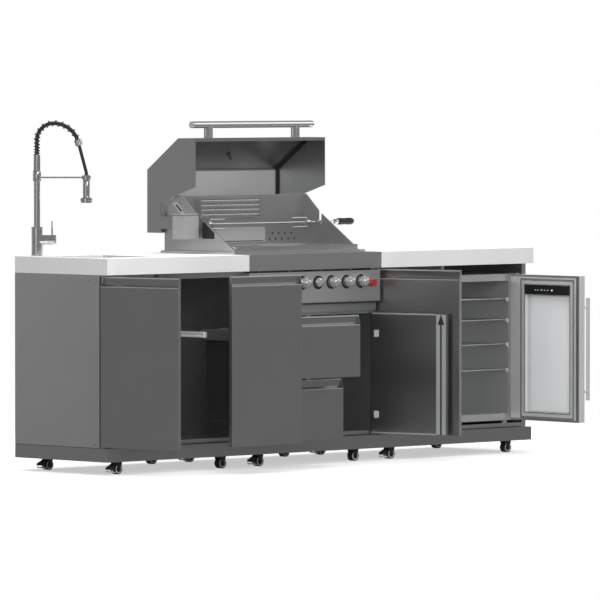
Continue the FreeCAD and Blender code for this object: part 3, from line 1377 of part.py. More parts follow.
def caster_wheel(name, across, back, swivel):
    """A wheel on its axle, turned from one outline."""
    wheel = f"{across} + {'caster_trail' if swivel else '0'}"
    centre = "-(caster_height - wheel_radius)"
    span = (f"{back} - wheel_width / 2", f"{back} + wheel_width / 2")
    tyre = rod(f"{name}_tyre", "y", (wheel, centre), span, "wheel_radius")
    bore = rod(f"{name}_bore", "y", (wheel, centre), span, "axle_radius + running_fit")
    return cut(f"{name}_wheel", tyre, bore)


def casters():
    """Twelve casters: the left pair of each cabinet swivels, the right pair is rigid."""
    rigid = []
    for label, across, back, swivel in CASTERS:
        fork = caster_fork(label, across, back, swivel)
        if swivel:
            node(f"{label}_caster_fork", fork)
        else:
            rigid.append(fork)
        node(f"{label}_caster_wheel", caster_wheel(label, across, back, swivel))
    node("rigid_caster_forks", *rigid)


# Rows of like pieces: name, place across, place in depth or height
REAR_LOBES = 6
UPPER_RUNNER = "(upper_front_bottom + drawer_box_lift + drawer_box_height / 2)"
LOWER_RUNNER = "(front_bottom + drawer_box_lift + drawer_box_height / 2)"
SHELVES = ("shelf_one", "shelf_two", "shelf_three", "shelf_four")
SHELF_FRONT = "cabinet_setback + shelf_ledge"
SHELF_BACK = "cabinet_setback + fridge_depth - fridge_wall - shelf_ledge"
BURNERS = tuple(f"(fire_left + (fire_right - fire_left) * {2 * index + 1} / {2 * SIZES['burner_count']})"
                for index in range(SIZES["burner_count"]))
KNOBS = (("one", "knob_one", "knob_height"), ("two", "knob_two", "knob_height"),
         ("three", "knob_three", "knob_height"), ("four", "knob_four", "knob_height"),
         ("rear", "rear_knob_across", "rear_knob_height"))
CASTERS = tuple((f"{module}_{side}_{depth}", f"{edge} {sign} caster_inset", f"caster_{depth}",
                 side == "left")
                for module, edges in (("sink", ("0", "grill_left")),
                                      ("grill", ("grill_left", "grill_right")),
                                      ("fridge", ("grill_right", "island_length")))
                for side, edge, sign in (("left", edges[0], "+"), ("right", edges[1], "-"))
                for depth in ("front", "rear"))


def check_document():
    """Stops when an object failed or a sub-part has no sound shape."""
    for item in DOC.Objects:
        if "Invalid" in item.State or "Error" in item.State:
            raise RuntimeError(f"{item.Name} failed: {item.State}")
    for label, (feature, _) in NODES.items():
        if feature.Shape.isNull() or not feature.Shape.isValid() or not feature.Shape.Solids:
            raise RuntimeError(f"{label} has no sound shape")


def settle():
    """Opens the doors, drawers and hood, then puts the origin under the middle of the whole island."""
    for feature, turn in NODES.values():
        feature.Placement = turn
    DOC.recompute()
    box = FreeCAD.BoundBox()
    for feature, _ in NODES.values():
        box.add(feature.Shape.optimalBoundingBox(False))
    origin = Vector((box.XMin + box.XMax) / 2, (box.YMin + box.YMax) / 2, box.ZMin)
    for feature, _ in NODES.values():
        feature.Placement = Placement(-origin, Rotation()).multiply(feature.Placement)
    DOC.recompute()
    return origin


def main():
    """Builds every sub-part and writes one file each."""
    fill_sheet()
    plinth()
    sink_cabinet()
    grill_cabinet()
    fridge_cabinet()
    worktops()
    grill_fascia()
    sink_bowl()
    hinge_pins()
    side_hung_doors()
    grill_door()
    drawers()
    waste_pull_out()
    tap_body()
    tap_lever()
    tap_arm()
    tap_hose()
    spray_head()
    control_panel()
    firebox()
    grill_burners()
    cooking_grates()
    knobs()
    igniter_button()
    drip_tray()
    hood_shell()
    hood_handle()
    thermometer()
    rotisserie()
    fridge_body()
    fridge_shelves()
    fridge_door()
    casters()
    DOC.removeObject(PROBE.Name)
    DOC.recompute()
    check_document()
    origin = settle()
    check_document()
    os.makedirs("parts", exist_ok=True)
    for label, (feature, _) in NODES.items():
        feature.Shape.exportStep(f"parts/{label}.step")
    print("origin", origin, "nodes", len(NODES))


main()
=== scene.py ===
import logging
import math
from dataclasses import dataclass
from enum import Enum
from functools import cache
from typing import Optional, Sequence, Union

import bmesh
import bpy
from mathutils import Matrix, Vector


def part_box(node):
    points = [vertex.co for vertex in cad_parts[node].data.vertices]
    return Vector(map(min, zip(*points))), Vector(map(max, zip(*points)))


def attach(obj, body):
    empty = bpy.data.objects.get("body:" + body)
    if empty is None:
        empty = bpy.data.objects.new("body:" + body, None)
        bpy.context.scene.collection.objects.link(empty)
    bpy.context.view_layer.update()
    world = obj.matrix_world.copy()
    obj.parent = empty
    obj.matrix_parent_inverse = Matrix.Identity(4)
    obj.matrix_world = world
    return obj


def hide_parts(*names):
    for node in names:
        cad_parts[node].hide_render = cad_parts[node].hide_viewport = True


# The outdoor kitchen island, dressed around its frame. Sizes are in millimetres, counted from the left
# front lower corner of the plinth: X along the front, Y to the back, Z up. Blender gets metres.

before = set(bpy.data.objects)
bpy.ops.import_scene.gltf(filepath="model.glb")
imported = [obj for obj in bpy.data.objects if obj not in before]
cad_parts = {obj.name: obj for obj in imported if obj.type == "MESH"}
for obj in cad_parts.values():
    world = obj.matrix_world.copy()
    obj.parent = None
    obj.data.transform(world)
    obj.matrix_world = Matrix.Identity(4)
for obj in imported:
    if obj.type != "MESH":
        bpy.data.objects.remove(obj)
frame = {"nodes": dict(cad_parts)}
LOG = logging.getLogger("kitchen")
MM = 0.001

Point = tuple[float, float, float]
Flat = tuple[float, float]
Outline = tuple[Flat, ...]
Colour = tuple[float, float, float]
Shade = tuple[float, float, float, float]
Value = Union["Signal", float, Sequence[float]]


class Axis(Enum):
    """A direction of the island."""

    ACROSS = 0
    BACK = 1
    UP = 2


# Materials: the nodes, the kinds of finish, and the island's own finishes.


class Signal:
    """One output socket, with arithmetic written as Python operators."""

    def __init__(self, nodes: "Nodes", socket: bpy.types.NodeSocket) -> None:
        """Keeps the socket and the nodes that it belongs to."""
        self.nodes = nodes
        self.socket = socket

    def _maths(self, operation: str, first: Value, second: Value) -> "Signal":
        """Adds a Math node."""
        return self.nodes.add("ShaderNodeMath", {"operation": operation}, {0: first, 1: second})

    def __add__(self, other: Value) -> "Signal":
        """Adds."""
        return self._maths("ADD", self, other)

    __radd__ = __add__

    def __sub__(self, other: Value) -> "Signal":
        """Takes away."""
        return self._maths("SUBTRACT", self, other)

    def __rsub__(self, other: Value) -> "Signal":
        """Is taken away from a number."""
        return self._maths("SUBTRACT", other, self)

    def __mul__(self, other: Value) -> "Signal":
        """Multiplies."""
        return self._maths("MULTIPLY", self, other)

    __rmul__ = __mul__


class Nodes:
    """The node tree of a material or of the world."""

    def __init__(self, tree: bpy.types.NodeTree) -> None:
        """Starts with the tree emptied."""
        self.tree = tree
        self.tree.nodes.clear()

    def add(self, kind: str, settings: dict[str, object], inputs: dict[Union[int, str], Value],
            output: Union[int, str] = 0) -> Optional[Signal]:
        """Adds any node, sets it up, fills its sockets and gives one of its outputs.

        Args:
            kind: The node's type.
            settings: Its own settings, which are set first.
            inputs: Values or signals by socket.
            output: Which output to give.

        Returns:
            The output's signal, or nothing where the node has no output.
        """
        made = self.tree.nodes.new(kind)
        for key, value in settings.items():
            setattr(made, key, value)
        for key, value in inputs.items():
            socket = made.inputs[key]
            if isinstance(value, Signal):
                self.tree.links.new(value.socket, socket)
            else:
                socket.default_value = value
        return Signal(self, made.outputs[output]) if made.outputs else None


class Recipe(Nodes):
    """The nodes of one material."""

    def __init__(self, name: str) -> None:
        """Starts an empty material.

        Args:
            name: Its name.
        """
        self.material = bpy.data.materials.new(name)
        self.material.use_nodes = True
        super().__init__(self.material.node_tree)

    def place(self, stretch: Point) -> Signal:
        """The surface's own position, stretched along each axis."""
        where = self.add("ShaderNodeTexCoord", {}, {}, "Object")
        return self.add("ShaderNodeVectorMath", {"operation": "MULTIPLY"}, {0: where, 1: stretch})

    def noise(self, stretch: Point, detail: float = 3.0, roughness: float = 0.5) -> Signal:
        """Grain that is fine or long as the stretch says, from 0 to 1."""
        sizes = {"Vector": self.place(stretch), "Scale": 1.0, "Detail": detail, "Roughness": roughness}
        return self.add("ShaderNodeTexNoise", {}, sizes)

    def blend(self, factor: Value, first: Shade, second: Shade) -> Signal:
        """Mixes two colours."""
        return self.add("ShaderNodeMix", {"data_type": "RGBA"}, {0: factor, 6: first, 7: second}, 2)

    def bump(self, height: Signal, distance: float) -> Signal:
        """Turns a height into a bumped normal."""
        return self.add("ShaderNodeBump", {}, {"Height": height, "Distance": distance, "Strength": 1.0},
                        "Normal")

    def finish(self, **sockets: Value) -> bpy.types.Material:
        """Ends the material in one surface shader.

        Args:
            **sockets: Values or signals of the shader's sockets, named with underscores for spaces.

        Returns:
            The material.
        """
        inputs = {name.replace("_", " "): value for name, value in sockets.items()}
        self.add("ShaderNodeOutputMaterial", {}, {0: self.add("ShaderNodeBsdfPrincipled", {}, inputs)})
        return self.material


def even(size: float) -> Point:
    """The same stretch along every axis."""
    return (size, size, size)


def shade(tint: Colour, factor: float, lift: float = 0.0) -> Shade:
    """A tint made darker or brighter, with full alpha."""
    return (*(factor * part + lift for part in tint), 1.0)


@dataclass(frozen=True)
class Brushed:
    """Brushed stainless sheet: fine scratches along one direction, and faint wipe marks."""

    name: str
    tint: Colour
    grain: Axis = Axis.ACROSS
    roughness: float = 0.3
    metal: float = 0.97
    depth: float = 0.00002
    scratch_size: float = 900.0
    scratch_run: float = 9.0
    wipe_size: float = 3.0
    shades: Flat = (0.86, 1.12)
    shares: Flat = (0.6, 0.4)
    gloss: float = 0.08
    scratch_gloss: float = 0.1

    def make(self) -> bpy.types.Material:
        """Builds the material.

        Returns:
            The material.
        """
        recipe = Recipe(self.name)
        fine = list(even(self.scratch_size))
        fine[self.grain.value] = self.scratch_run
        scratch = recipe.noise(tuple(fine), 2.0)
        wipe = recipe.noise(even(self.wipe_size), 4.0, 0.6)
        dark, bright = (shade(self.tint, factor) for factor in self.shades)
        colour = recipe.blend(scratch * self.shares[0] + wipe * self.shares[1], dark, bright)
        rough = self.roughness - self.gloss + scratch * self.scratch_gloss + wipe * self.gloss
        return recipe.finish(Base_Color=colour, Metallic=self.metal, Roughness=rough,
                             Normal=recipe.bump(scratch, self.depth))


@dataclass(frozen=True)
class Stone:
    """Pale honed worktop with a fine fleck and soft clouding."""

    name: str
    tint: Colour
    cloud_size: float = 2.2
    fleck_size: float = 420.0
    shades: Flat = (0.93, 1.04)
    share: float = 0.5
    roughness: float = 0.42
    gloss: float = 0.12
    depth: float = 0.00006

    def make(self) -> bpy.types.Material:
        """Builds the material.

        Returns:
            The material.
        """
        recipe = Recipe(self.name)
        cloud = recipe.noise(even(self.cloud_size), 5.0, 0.6)
        fleck = recipe.noise(even(self.fleck_size), 2.0)
        dark, bright = (shade(self.tint, factor) for factor in self.shades)
        colour = recipe.blend(cloud * self.share + fleck * self.share, dark, bright)
        return recipe.finish(Base_Color=colour, Roughness=self.roughness + fleck * self.gloss,
                             Normal=recipe.bump(fleck, self.depth))


@dataclass(frozen=True)
class Moulded:
    """Moulded plastic, rubber or enamel with a fine pebbled skin."""

    name: str
    tint: Colour
    roughness: float = 0.5
    coat: float = 0.0
    skin: float = 0.00008
    pebble_size: float = 1500.0
    dust_size: float = 14.0
    shades: Flat = (0.8, 1.25)
    lift: float = 0.004
    gloss: float = 0.12
    coat_roughness: float = 0.08

    def make(self) -> bpy.types.Material:
        """Builds the material.

        Returns:
            The material.
        """
        recipe = Recipe(self.name)
        pebble = recipe.noise(even(self.pebble_size), 1.0)
        dust = recipe.noise(even(self.dust_size), 4.0, 0.6)
        colour = recipe.blend(dust, shade(self.tint, self.shades[0]),
                              shade(self.tint, self.shades[1], self.lift))
        rough = self.roughness + dust * self.gloss - self.gloss / 2.0
        return recipe.finish(Base_Color=colour, Roughness=rough, Coat_Weight=self.coat,
                             Coat_Roughness=self.coat_roughness, Normal=recipe.bump(pebble, self.skin))


@dataclass(frozen=True)
class Pane:
    """Tinted door glass with a faint film that shows as uneven gloss."""

    name: str
    tint: Colour
    alpha: float
    film_size: float = 5.0
    shades: Flat = (0.94, 1.0)
    roughness: float = 0.04
    gloss: float = 0.05
    bend: float = 1.5

    def make(self) -> bpy.types.Material:
        """Builds the material.

        Returns:
            The material.
        """
        recipe = Recipe(self.name)
        film = recipe.noise(even(self.film_size), 4.0, 0.6)
        dark, bright = (shade(self.tint, factor) for factor in self.shades)
        colour = recipe.blend(film, dark, bright)
        return recipe.finish(Base_Color=colour, Roughness=self.roughness + film * self.gloss,
                             Alpha=self.alpha,
                             IOR=self.bend)


class Finish(Enum):
    """The island's finishes."""

    # STEEL, UPRIGHT, HOOD and INNER are one brushed steel in lit and shaded copies, painted light and shade:
    # darker on the fronts and the plinth, lighter on the cabinets and the insides, and a tint of its own for
    # the hood.
    STEEL = Brushed("brushed_steel", (0.46, 0.47, 0.465))
    UPRIGHT = Brushed("brushed_steel_upright", (0.62, 0.63, 0.625), Axis.UP)
    HOOD = Brushed("hood_steel", (0.5, 0.51, 0.505))
    PANEL = Brushed("panel_steel", (0.8, 0.81, 0.805), Axis.ACROSS, roughness=0.3, metal=0.93)
    DOOR = Brushed("door_steel", (0.9, 0.91, 0.9), Axis.UP, roughness=0.36, metal=0.72)
    TRIM = Brushed("trim_steel", (0.5, 0.51, 0.505), Axis.UP, roughness=0.34, metal=0.62)
    # COIL is a dark copy of the tap's steel, painted shade on the spring; the thermometer shares it.
    COIL = Brushed("spring_steel", (0.16, 0.16, 0.16), Axis.UP, roughness=0.22, metal=0.8)
    INNER = Brushed("inner_steel", (0.72, 0.73, 0.725), Axis.UP, roughness=0.38, metal=0.85)
    BRIGHT = Brushed("bright_steel", (0.72, 0.72, 0.72), Axis.ACROSS, roughness=0.22)
    TAP = Brushed("tap_steel", (0.72, 0.72, 0.71), Axis.UP, roughness=0.13)
    POLISHED = Brushed("polished_steel", (0.8, 0.8, 0.81), Axis.UP, roughness=0.14, metal=0.86)
    STONE = Stone("worktop_stone", (0.6, 0.6, 0.597))
    BLACK = Moulded("black_plastic", (0.012, 0.012, 0.012), roughness=0.45)
    RUBBER = Moulded("black_rubber", (0.016, 0.016, 0.016), roughness=0.6)
    RED = Moulded("red_knob", (0.26, 0.014, 0.02), roughness=0.22, coat=1.0, skin=0.00002)
    GASKET = Moulded("door_gasket", (0.12, 0.12, 0.12), roughness=0.6)
    STRIP = Moulded("control_strip", (0.006, 0.006, 0.007), roughness=0.15, coat=1.0, skin=0.00001)
    MARKS = Moulded("strip_marks", (0.6, 0.6, 0.62), roughness=0.4)
    GLASS = Pane("door_glass", (0.57, 0.58, 0.59), alpha=0.64)
    LIGHT = Brushed("light_steel", (0.66, 0.67, 0.665))
    LINER = Brushed("liner_steel", (0.86, 0.87, 0.86), Axis.UP, roughness=0.24)
    LAMP = Brushed("lamp_cover", (0.62, 0.63, 0.62), Axis.ACROSS, roughness=0.4, metal=0.66)
    SHINE = Brushed("mirror_steel", (0.85, 0.86, 0.855), Axis.ACROSS, roughness=0.12, metal=0.95)
    PALE = Brushed("pale_zinc", (0.62, 0.62, 0.62), Axis.UP, roughness=0.36, metal=0.35)
    ZINC = Brushed("caster_zinc", (0.35, 0.35, 0.36), Axis.UP, roughness=0.35)


class Slot(Enum):
    """Names of the record's slots."""

    STEEL = "steel"
    POLISHED = "polished_steel"
    PAINT = "anthracite_paint"
    FRIDGE = "fridge_paint"
    ZINC = "caster_zinc"
    WHEEL = "wheel_rubber"
    PLASTIC = "black_plastic"
    RUBBER = "black_rubber"


@cache
def material(finish: Finish) -> bpy.types.Material:
    """The material of a finish, made the first time that it is asked for."""
    return finish.value.make()


# Places: the frame's corner, and how each body stands in the photograph.

ANCHOR_NODE = "sink_worktop"
ANCHOR_HEIGHT = 784.0


def site() -> Matrix:
    """Where the island's own corner lies in the frame, from the sink worktop's low corner."""
    low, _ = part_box(ANCHOR_NODE)
    return Matrix.Translation(Vector(low) - Vector((0.0, 0.0, ANCHOR_HEIGHT * MM)))


def turned(angle: float, centre: Point, axis: Axis = Axis.UP) -> Matrix:
    """A turn about a line through a point.

    Args:
        angle: Degrees.
        centre: A point of the line, in millimetres.
        axis: The line's direction.

    Returns:
        The matrix, in metres.
    """
    there = Matrix.Translation(Vector(centre) * MM)
    return there @ Matrix.Rotation(math.radians(angle), 4, "XYZ"[axis.value]) @ there.inverted()


@dataclass(frozen=True)
class Pose:
    """How a body stands in the photograph: turned about its hinge, then pulled out."""

    body: str
    angle: float = 0.0
    centre: Point = (0.0, 0.0, 0.0)
    axis: Axis = Axis.UP
    shift: Point = (0.0, 0.0, 0.0)

    def matrix(self) -> Matrix:
        """The body's place in the frame, of points given as they are when it is closed."""
        pulled = Matrix.Translation(Vector(self.shift) * MM)
        return site() @ pulled @ turned(self.angle, self.centre, self.axis)


TAP_TURN = -44.4
TAP_PLACE = (95.0, 540.0, 0.0)

CABINET = Pose("cabinet")
SINK_DOOR = Pose("sink_door", -80.0, (9.0, 36.0, 0.0))
WASTE = Pose("waste_drawer", shift=(0.0, -352.0, 0.0))
UPPER = Pose("upper_drawer", shift=(0.0, -300.0, 0.0))
LOWER = Pose("lower_drawer", shift=(0.0, -197.0, 0.0))
GRILL_DOOR = Pose("grill_door", 101.5, (1611.0, 36.0, 0.0))
SIDE_DOOR = Pose("fridge_side_door", -77.0, (1638.0, 36.0, 0.0))
FRIDGE_DOOR = Pose("fridge_door", 87.0, (2491.0, 20.0, 0.0))
HOOD = Pose("hood", -90.0, (0.0, 459.5, 983.5), Axis.ACROSS)
TRAY = Pose("drip_tray")
TAP_BASE = Pose("cabinet", TAP_TURN, shift=TAP_PLACE)
TAP = Pose("tap_spout", TAP_TURN, shift=TAP_PLACE)
LEVER = Pose("tap_lever", TAP_TURN, shift=TAP_PLACE)


# Meshes: the solids that the pieces are made of.


class Form:
    """A mesh under construction, in millimetres, as its body is when closed."""

    def __init__(self) -> None:
        """Starts empty."""
        self.mesh = bmesh.new()

    def block(self, low: Point, high: Point) -> "Form":
        """Adds a box from its low to its high corner."""
        return self.prism([(low[0], low[1]), (high[0], low[1]), (high[0], high[1]), (low[0], high[1])],
                          low[2], high[2])

    def prism(self, outline: Sequence[Flat], start: float, end: float, axis: Axis = Axis.UP) -> "Form":
        """Adds an outline pulled along an axis.

        Args:
            outline: Its corners: (x, y) along UP, (y, z) along ACROSS, (x, z) along BACK.
            start: Where it starts on the axis.
            end: Where it ends.
            axis: The axis.

        Returns:
            This form.
        """
        return self.loft([[lifted(corner, along, axis) for corner in outline] for along in (start, end)])

    def turn(self, profile: Sequence[Flat], centre: Point, axis: Axis, steps: int = 48) -> "Form":
        """Adds a profile turned about an axis.

        Args:
            profile: (radius, distance along the axis) of each ring; a radius of nought closes an end.
            centre: The point that distances count from.
            axis: The axis.
            steps: How many sides a ring has.

        Returns:
            This form.
        """
        rings = []
        for radius, along in profile:
            ring = [on_circle(radius, step / steps) for step in range(steps)] if radius else [(0.0, 0.0)]
            rings.append([self.mesh.verts.new(Vector(centre) + Vector(lifted(corner, along, axis)))
                          for corner in ring])
        for low, high in zip(rings, rings[1:]):
            self.join(low, high)
        return self

    def sweep(self, path: Sequence[Vector], radius: float, sides: int = 12) -> "Form":
        """Adds a round bar along a path.

        Args:
            path: The points of its middle line.
            radius: Its radius.
            sides: How many sides it has.

        Returns:
            This form.
        """
        rings = []
        across = None
        for index, point in enumerate(path):
            ahead = (path[min(index + 1, len(path) - 1)] - path[max(index - 1, 0)]).normalized()
            if across is None:
                across = ahead.orthogonal().normalized()
            across = (across - ahead * across.dot(ahead)).normalized()
            beside = ahead.cross(across)
            rings.append([point + radius * (across * math.cos(turn) + beside * math.sin(turn))
                          for turn in (math.tau * side / sides for side in range(sides))])
        return self.loft(rings)

    def loft(self, rings: Sequence[Sequence[Union[Point, Vector]]]) -> "Form":
        """Adds a skin over rings of points, with a face over each end.

        Args:
            rings: The rings in order, all with as many points.

        Returns:
            This form.
        """
        made = [[self.mesh.verts.new(point) for point in ring] for ring in rings]
        for low, high in zip(made, made[1:]):
            self.join(low, high)
        self.mesh.faces.new(list(reversed(made[0])))
        self.mesh.faces.new(made[-1])
        return self

    def join(self, low: Sequence[bmesh.types.BMVert], high: Sequence[bmesh.types.BMVert]) -> None:
        """Faces between two rings, or between a ring and a point.

        Args:
            low: The first ring, or a single point.
            high: The second.
        """
        count = max(len(low), len(high))
        for step in range(count):
            after = (step + 1) % count
            if len(low) == 1:
                self.mesh.faces.new((low[0], high[after], high[step]))
            elif len(high) == 1:
                self.mesh.faces.new((low[step], low[after], high[0]))
            else:
                self.mesh.faces.new((low[step], low[after], high[after], high[step]))

    def ended(self, name: str, pose: Pose) -> bpy.types.Object:
        """Ends the form as an object of the scene, in metres.

        Args:
            name: The object's name.
            pose: Where its body stands.

        Returns:
            The object.
        """
        bmesh.ops.scale(self.mesh, vec=even(MM), verts=self.mesh.verts)
        data = bpy.data.meshes.new(name)
        self.mesh.to_mesh(data)
        self.mesh.free()
        made = bpy.data.objects.new(name, data)
        made.matrix_world = pose.matrix()
        bpy.context.scene.collection.objects.link(made)
        return made

    def place(self, name: str, finish: Finish, pose: Pose = CABINET, edge: float = 0.0,
              slot: Slot = Slot.STEEL,
              replaces: Sequence[str] = (), smooth: float = 35.0) -> bpy.types.Object:
        """Ends the form as a piece that rides on its body.

        Args:
            name: The piece's name.
            finish: Its finish.
            pose: Where its body stands.
            edge: How wide its edges are broken, in millimetres.
            slot: The record's slot of the piece; not used.
            replaces: The CAD nodes that it stands for.
            smooth: The angle, in degrees, over which an edge stays sharp.

        Returns:
            The object.
        """
        bmesh.ops.recalc_face_normals(self.mesh, faces=self.mesh.faces)
        made = self.ended(name, pose)
        made.data.materials.append(material(finish))
        made.data.polygons.foreach_set("use_smooth", [True] * len(made.data.polygons))
        made.data.set_sharp_from_angle(angle=math.radians(smooth))
        if edge:
            soften(made, edge, smooth)
        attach(made, pose.body)
        if replaces:
            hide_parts(*replaces)
        return made


def lifted(flat: Flat, along: float, axis: Axis) -> Point:
    """The point of a flat outline at a distance along its axis.

    Args:
        flat: The point in the outline's own plane.
        along: The distance.
        axis: The axis that the outline is square to.

    Returns:
        The point in space.
    """
    if axis is Axis.ACROSS:
        return (along, flat[0], flat[1])
    if axis is Axis.BACK:
        return (flat[0], along, flat[1])
    return (flat[0], flat[1], along)


def on_circle(radius: float, share: float) -> Flat:
    """The point of a circle at a share of a full turn."""
    return (radius * math.cos(math.tau * share), radius * math.sin(math.tau * share))


def rounded(left: float, right: float, low: float, high: float, radius: float, steps: int = 4) -> list[Flat]:
    """The outline of a rectangle with round corners.

    Args:
        left: Its left side.
        right: Its right side.
        low: Its lower side.
        high: Its upper side.
        radius: The radius of its corners.
        steps: How many pieces a corner has.

    Returns:
        The corners in order.
    """
    outline = []
    centres = ((right - radius, high - radius), (left + radius, high - radius), (left + radius, low + radius),
               (right - radius, low + radius))
    for quarter, (across, up) in enumerate(centres):
        for step in range(steps + 1):
            turn = math.tau * (quarter + step / steps) / 4.0
            outline.append((across + radius * math.cos(turn), up + radius * math.sin(turn)))
    return outline


def soften(made: bpy.types.Object, edge: float, angle: float = 35.0) -> None:
    """Breaks an object's sharp edges.

    Args:
        made: The object.
        edge: Width in millimetres.
        angle: The least angle of an edge that is broken, in degrees.
    """
    bevel = made.modifiers.new("edges", "BEVEL")
    bevel.width = edge * MM
    bevel.segments = 3
    bevel.limit_method = "ANGLE"
    bevel.angle_limit = math.radians(angle)
    bevel.harden_normals = True


def carve(made: bpy.types.Object, tool: Form, pose: Pose) -> None:
    """Cuts a form out of a piece, before its edges are softened.

    Args:
        made: The piece.
        tool: The form that is cut away.
        pose: Where the tool's body stands.
    """
    bmesh.ops.recalc_face_normals(tool.mesh, faces=tool.mesh.faces)
    cutter = tool.ended("cutter", pose)
    widths = [item.width for item in made.modifiers]
    made.modifiers.clear()
    hole = made.modifiers.new("hole", "BOOLEAN")
    hole.operation = "DIFFERENCE"
    hole.solver = "EXACT"
    hole.object = cutter
    bpy.context.view_layer.update()
    shape = bpy.data.meshes.new_from_object(made.evaluated_get(bpy.context.evaluated_depsgraph_get()))
    made.modifiers.clear()
    made.data = shape
    bpy.data.objects.remove(cutter)
    for width in widths:
        soften(made, width / MM)


# Fronts, drawers and doors.

FRONT_FACE = 27.0
FRONT_BACK = 45.0
FRONT_FOOT = 62.0
FRONT_TOP = 777.0
FINGER_HEIGHT = 40.0
FINGER_DEPTH = 11.0


@dataclass
class FoldedFront:
    """A front folded from sheet: a face, a finger channel with cheeks at its ends, and a tray-like back."""

    name: str
    pose: Pose
    left: float
    right: float
    foot: float = FRONT_FOOT
    top: float = FRONT_TOP
    cheek: float = 2.5
    lip: float = 5.0
    ledge: float = 3.0
    fold: float = 0.2
    upper_fold: Flat = (0.8, 0.6)
    lower_fold: Flat = (0.7, 3.0)
    margin: float = 13.0
    tray: float = 0.8
    tray_sunk: float = 0.5
    tray_corner: float = 6.0
    pin_across: Optional[float] = None
    pin_line: float = 36.0
    pin_room: float = 3.3
    pin_depth: float = 26.0
    pin_over: float = 5.0

    def channel(self) -> list[Flat]:
        """The outline of the panel from the side, with a hollow finger channel.

        Returns:
            Its corners.
        """
        back = FRONT_FACE + FINGER_DEPTH
        return [(FRONT_FACE, self.foot), (FRONT_BACK, self.foot), (FRONT_BACK, self.top),
                (back, self.top), (back, self.top - self.lip), (back + self.ledge, self.top - 2.0 * self.lip),
                (back + self.ledge, self.top - 0.8 * FINGER_HEIGHT),
                (FRONT_FACE + self.ledge, self.top - FINGER_HEIGHT), (FRONT_FACE, self.top - FINGER_HEIGHT)]

    def closed(self) -> list[Flat]:
        """The outline of a cheek, which closes an end of the channel."""
        return [(FRONT_FACE, self.foot), (FRONT_BACK, self.foot), (FRONT_BACK, self.top),
                (FRONT_FACE + FINGER_DEPTH, self.top), (FRONT_FACE, self.top - FINGER_HEIGHT)]

    def panel(self) -> Form:
        """The panel with its cheeks.

        Returns:
            The form.
        """
        start, end = self.left + self.cheek, self.right - self.cheek
        form = Form().prism(self.closed(), self.left, start, Axis.ACROSS)
        form.prism(self.channel(), start, end, Axis.ACROSS)
        return form.prism(self.closed(), end, self.right, Axis.ACROSS)

    def holes(self) -> Form:
        """The blind holes of the hinge pins.

        Returns:
            The form.
        """
        form = Form()
        for low, high in ((self.foot - self.pin_over, self.foot + self.pin_depth),
                          (self.top - self.pin_depth, self.top + self.pin_over)):
            form.turn([(0.0, low), (self.pin_room, low), (self.pin_room, high), (0.0, high)],
                      (self.pin_across, self.pin_line, 0.0), Axis.UP, 20)
        return form

    def folds(self) -> Form:
        """The folded edges over and under the channel, in the lighter trim finish: a painted highlight where
        they catch the light.

        Returns:
            The form.
        """
        bend = self.top - FINGER_HEIGHT
        back = FRONT_FACE + FINGER_DEPTH
        start, end = self.left + self.cheek, self.right - self.cheek
        form = Form().block((start, back - self.upper_fold[0], self.top - self.lip),
                            (end, back + self.fold, self.top - self.upper_fold[1]))
        return form.block((start, FRONT_FACE - self.lower_fold[0], bend - self.lower_fold[1]),
                          (end, FRONT_FACE + self.fold, bend - self.fold))

    def back_tray(self) -> Form:
        """The pressed field of the back.

        Returns:
            The form.
        """
        outline = rounded(self.left + self.margin, self.right - self.margin, self.foot + self.margin,
                          self.top - self.margin, self.tray_corner)
        return Form().prism(outline, FRONT_BACK - self.tray_sunk, FRONT_BACK + self.tray, Axis.BACK)

    def place_sheet(self, piece: str, node: str) -> bpy.types.Object:
        """Places the panel and its folds.

        Args:
            piece: What the panel is called after the front's name.
            node: The CAD node that it stands for.

        Returns:
            The panel.
        """
        made = self.panel().place(f"{self.name}_{piece}", Finish.STEEL, self.pose, edge=0.7,
                                  slot=Slot.PAINT, replaces=(node,))
        # The folds take the lighter trim finish, a painted highlight.
        self.folds().place(f"{self.name}_folds", Finish.TRIM, self.pose, edge=0.3, slot=Slot.PAINT)
        return made

    def build(self) -> None:
        """Builds the door, replacing its node."""
        made = self.place_sheet("panel", self.name)
        if self.pin_across is not None:
            carve(made, self.holes(), self.pose)
        self.back_tray().place(f"{self.name}_tray", Finish.INNER, self.pose, edge=0.5, slot=Slot.PAINT)


@dataclass
class Slides:
    """The pair of bars that a drawer runs on."""

    left: Flat
    right: Flat
    start: float
    end: float
    middle: float
    height: float = 23.0
    bead: float = 5.0
    slant: float = 1.5
    dent: float = 2.0

    def form(self) -> Form:
        """Both bars, each with a bead pressed along its outer side.

        Returns:
            The form.
        """
        form = Form()
        half = self.height / 2.0
        bed = self.bead - self.slant
        for (edge, other), outer in ((self.left, -1.0), (self.right[::-1], 1.0)):
            inner = edge - outer * self.dent
            form.prism([(other, self.middle - half), (edge, self.middle - half),
                        (edge, self.middle - self.bead),
                        (inner, self.middle - bed), (inner, self.middle + bed),
                        (edge, self.middle + self.bead),
                        (edge, self.middle + half),
                        (other, self.middle + half)], self.start, self.end, Axis.BACK)
        return form


